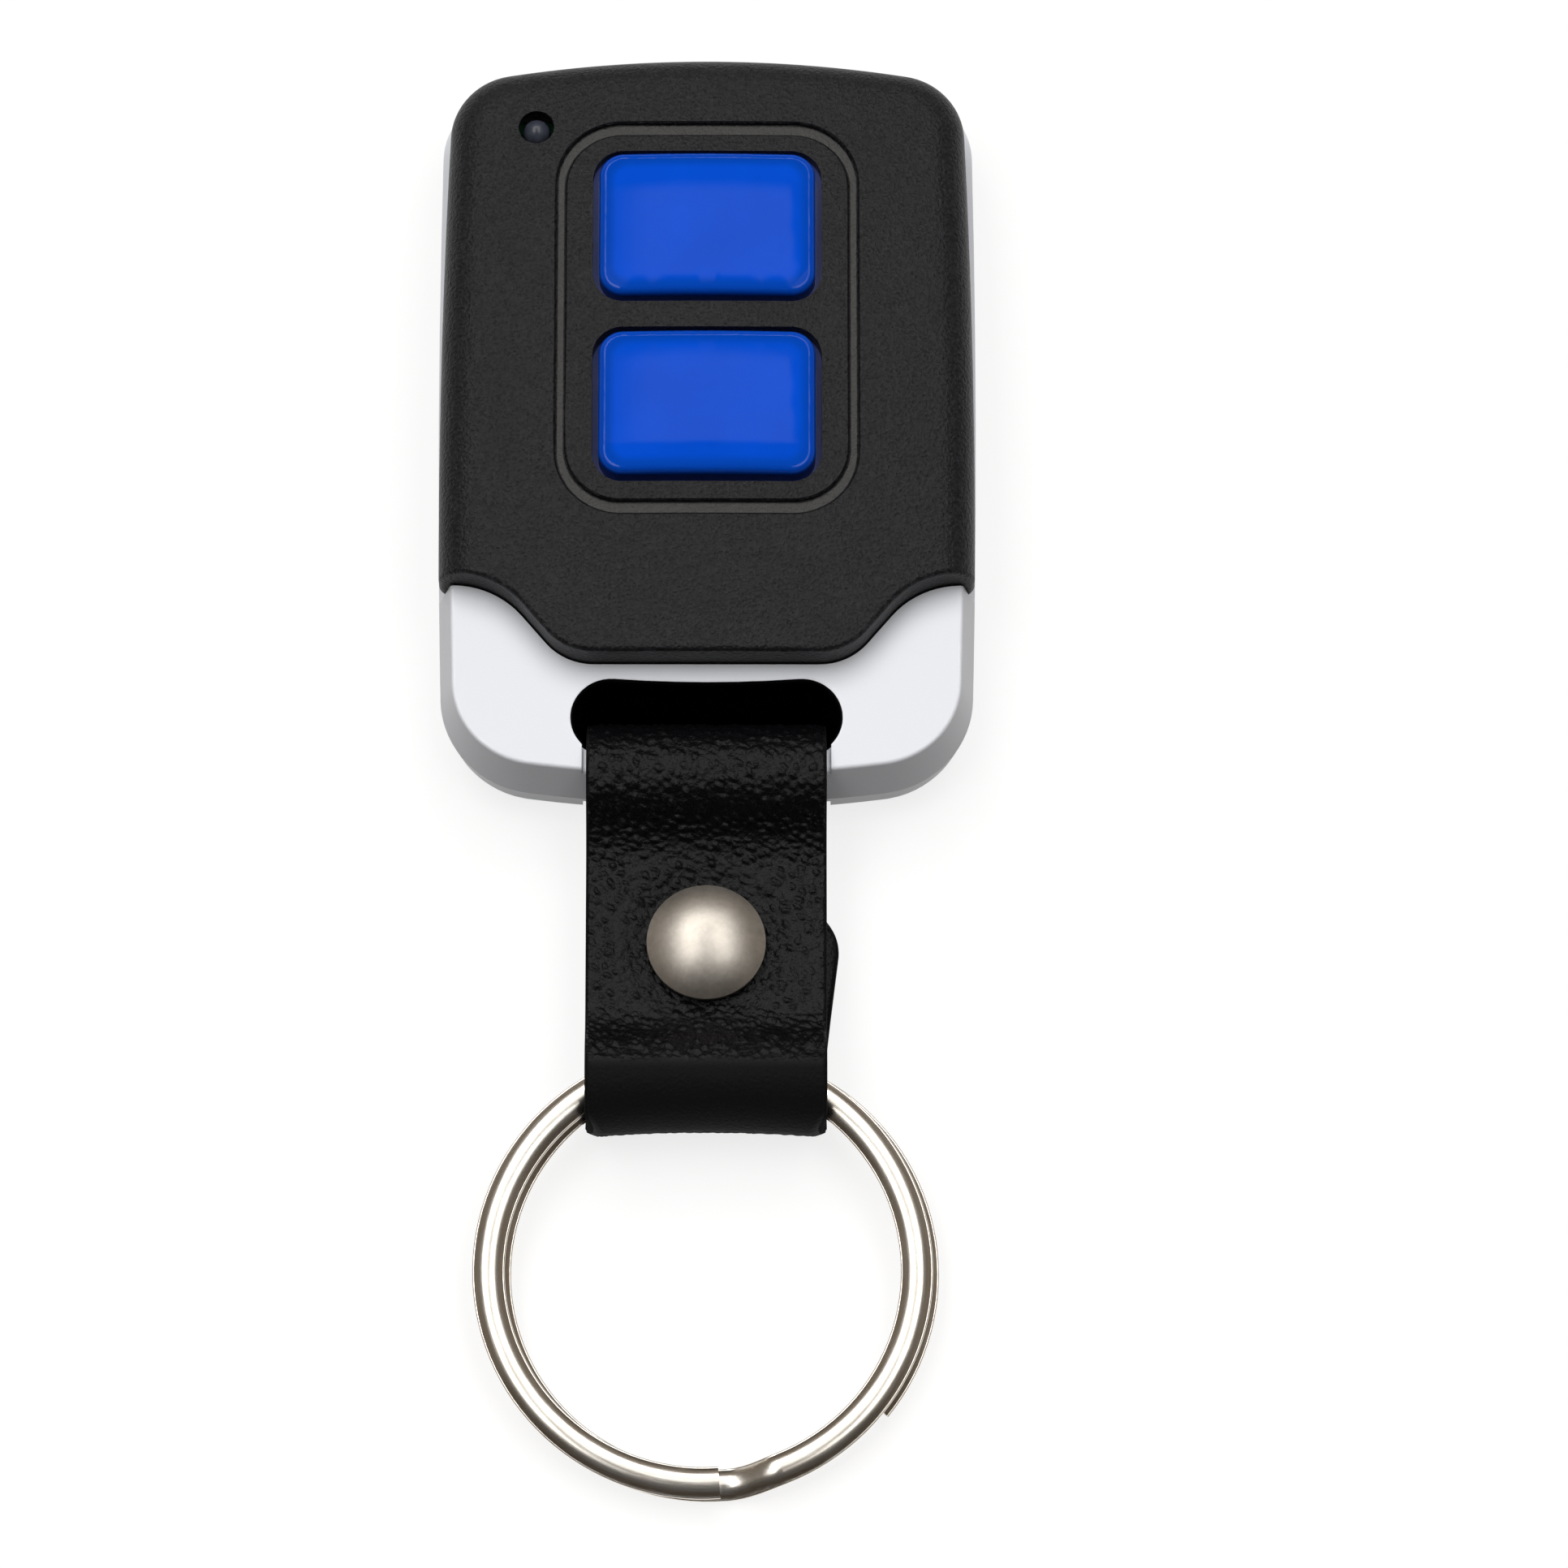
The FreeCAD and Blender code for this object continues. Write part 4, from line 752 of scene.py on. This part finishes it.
def make_floor():
    """A plain pale floor: white to the camera, with the object's shadow; in the box under the strap's slot a
    painted shadow, black and with no glow.
    """
    s = Shader("floor")
    diffuse = s.node("ShaderNodeBsdfDiffuse")
    glow = s.node("ShaderNodeEmission")
    glow.inputs["Color"].default_value = grey(1.0)
    path = s.node("ShaderNodeLightPath")
    seen = s.math("MAXIMUM", path.outputs["Is Camera Ray"],
                  s.math("MAXIMUM", path.outputs["Is Glossy Ray"], path.outputs["Is Transmission Ray"]))
    where = s.node("ShaderNodeTexCoord")
    spot = s.node("ShaderNodeSeparateXYZ")
    s.link(where.outputs["Object"], spot.inputs["Vector"])
    # Painted shadow: in the box under the strap's slot the floor's colour is black and its glow is off, standing
    # in for the shade in the slot's deep well
    painted_slot_shadow = s.math("MULTIPLY", s.inside(spot.outputs["X"], 0.0, SLOT_HALF_X * MM),
                     s.inside(spot.outputs["Y"], SLOT_Y * MM, SLOT_HALF_Y * MM))
    outside_slot_shadow = s.math("SUBTRACT", 1.0, painted_slot_shadow)
    s.link(s.mix_color(painted_slot_shadow, grey(FLOOR_COLOR), grey(0.0)), diffuse.inputs["Color"])
    s.link(s.math("MULTIPLY", s.math("MULTIPLY", seen, outside_slot_shadow), FLOOR_GLOW), glow.inputs["Strength"])
    both = s.node("ShaderNodeAddShader")
    s.link(diffuse.outputs["BSDF"], both.inputs[0])
    s.link(glow.outputs["Emission"], both.inputs[1])
    s.link(both.outputs["Shader"], s.output.inputs["Surface"])
    corners = [(x * FLOOR_HALF, y * FLOOR_HALF, 0) for x, y in ((-1, -1), (1, -1), (1, 1), (-1, 1))]
    floor = build_mesh("floor", corners, [(0, 1, 2, 3)], s.material, smooth_faces=False)


class Sky(Shader):
    """The same helper for the world's nodes."""

    def __init__(self, name):
        self.world = bpy.data.worlds.new(name)
        self.world.use_nodes = True
        self.tree = self.world.node_tree
        bpy.context.scene.world = self.world

    def rise(self, value, place, blur):
        """0 below a place, 1 past it, with an even rise over the blur on either side."""
        made = self.node("ShaderNodeMapRange", interpolation_type="SMOOTHSTEP")
        made.inputs["From Min"].default_value = place - blur
        made.inputs["From Max"].default_value = place + blur
        self.link(value, made.inputs["Value"])
        return made.outputs["Result"]

    def panel(self, across, along, left, right, front, back, level):
        """The level of one soft panel at a direction."""
        wide = self.math("SUBTRACT", self.rise(across, *left), self.rise(across, *right))
        deep = self.math("SUBTRACT", self.rise(along, *front), self.rise(along, *back))
        return self.math("MULTIPLY", self.math("MULTIPLY", wide, deep), level)


def make_world():
    """The tent: dim walls, the key panel that the buttons mirror, and stronger panels round it.

    Behind the floor stands a low white backdrop, and the camera sees white above it too."""
    s = Sky("studio")
    where = s.node("ShaderNodeTexCoord")
    way = s.node("ShaderNodeSeparateXYZ")
    s.link(where.outputs["Generated"], way.inputs["Vector"])
    height = s.math("MAXIMUM", way.outputs["Z"], LOWEST_Z)
    across = s.math("DIVIDE", way.outputs["X"], height)
    along = s.math("DIVIDE", way.outputs["Y"], height)
    level = s.panel(across, along, *KEY_PANEL)
    for panel in (LEFT_PANEL, RIGHT_PANEL, BACK_PANEL, FRONT_PANEL):
        level = s.math("MAXIMUM", level, s.panel(across, along, *panel))
    panels = s.mix_color(level, grey(0.0), PANEL_TINT, "MIX", False)
    behind = s.rise(way.outputs["Y"], FRONT_END, FRONT_BLUR)
    walls = s.mix_color(behind, s.ramp(way.outputs["Z"], FRONT_WALLS), s.ramp(way.outputs["Z"], WALLS))
    tent = s.mix_color(1.0, walls, panels, "ADD", False)
    path = s.node("ShaderNodeLightPath")
    low = s.math("SUBTRACT", 1.0, s.rise(way.outputs["Z"], BACKDROP_TOP, BACKDROP_BLUR))
    mirrored = s.math("MAXIMUM", path.outputs["Is Glossy Ray"], path.outputs["Is Transmission Ray"])
    white = s.math("MAXIMUM", path.outputs["Is Camera Ray"], s.math("MULTIPLY", mirrored, low))
    s.link(s.mix_color(white, tent, grey(1.0)), s.tree.nodes["Background"].inputs["Color"])


make_camera()
make_floor()
make_world()
materials = make_materials()
dress_nodes(materials)
make_strap(materials["black_leather"])
bpy.context.scene.view_settings.view_transform = "Standard"
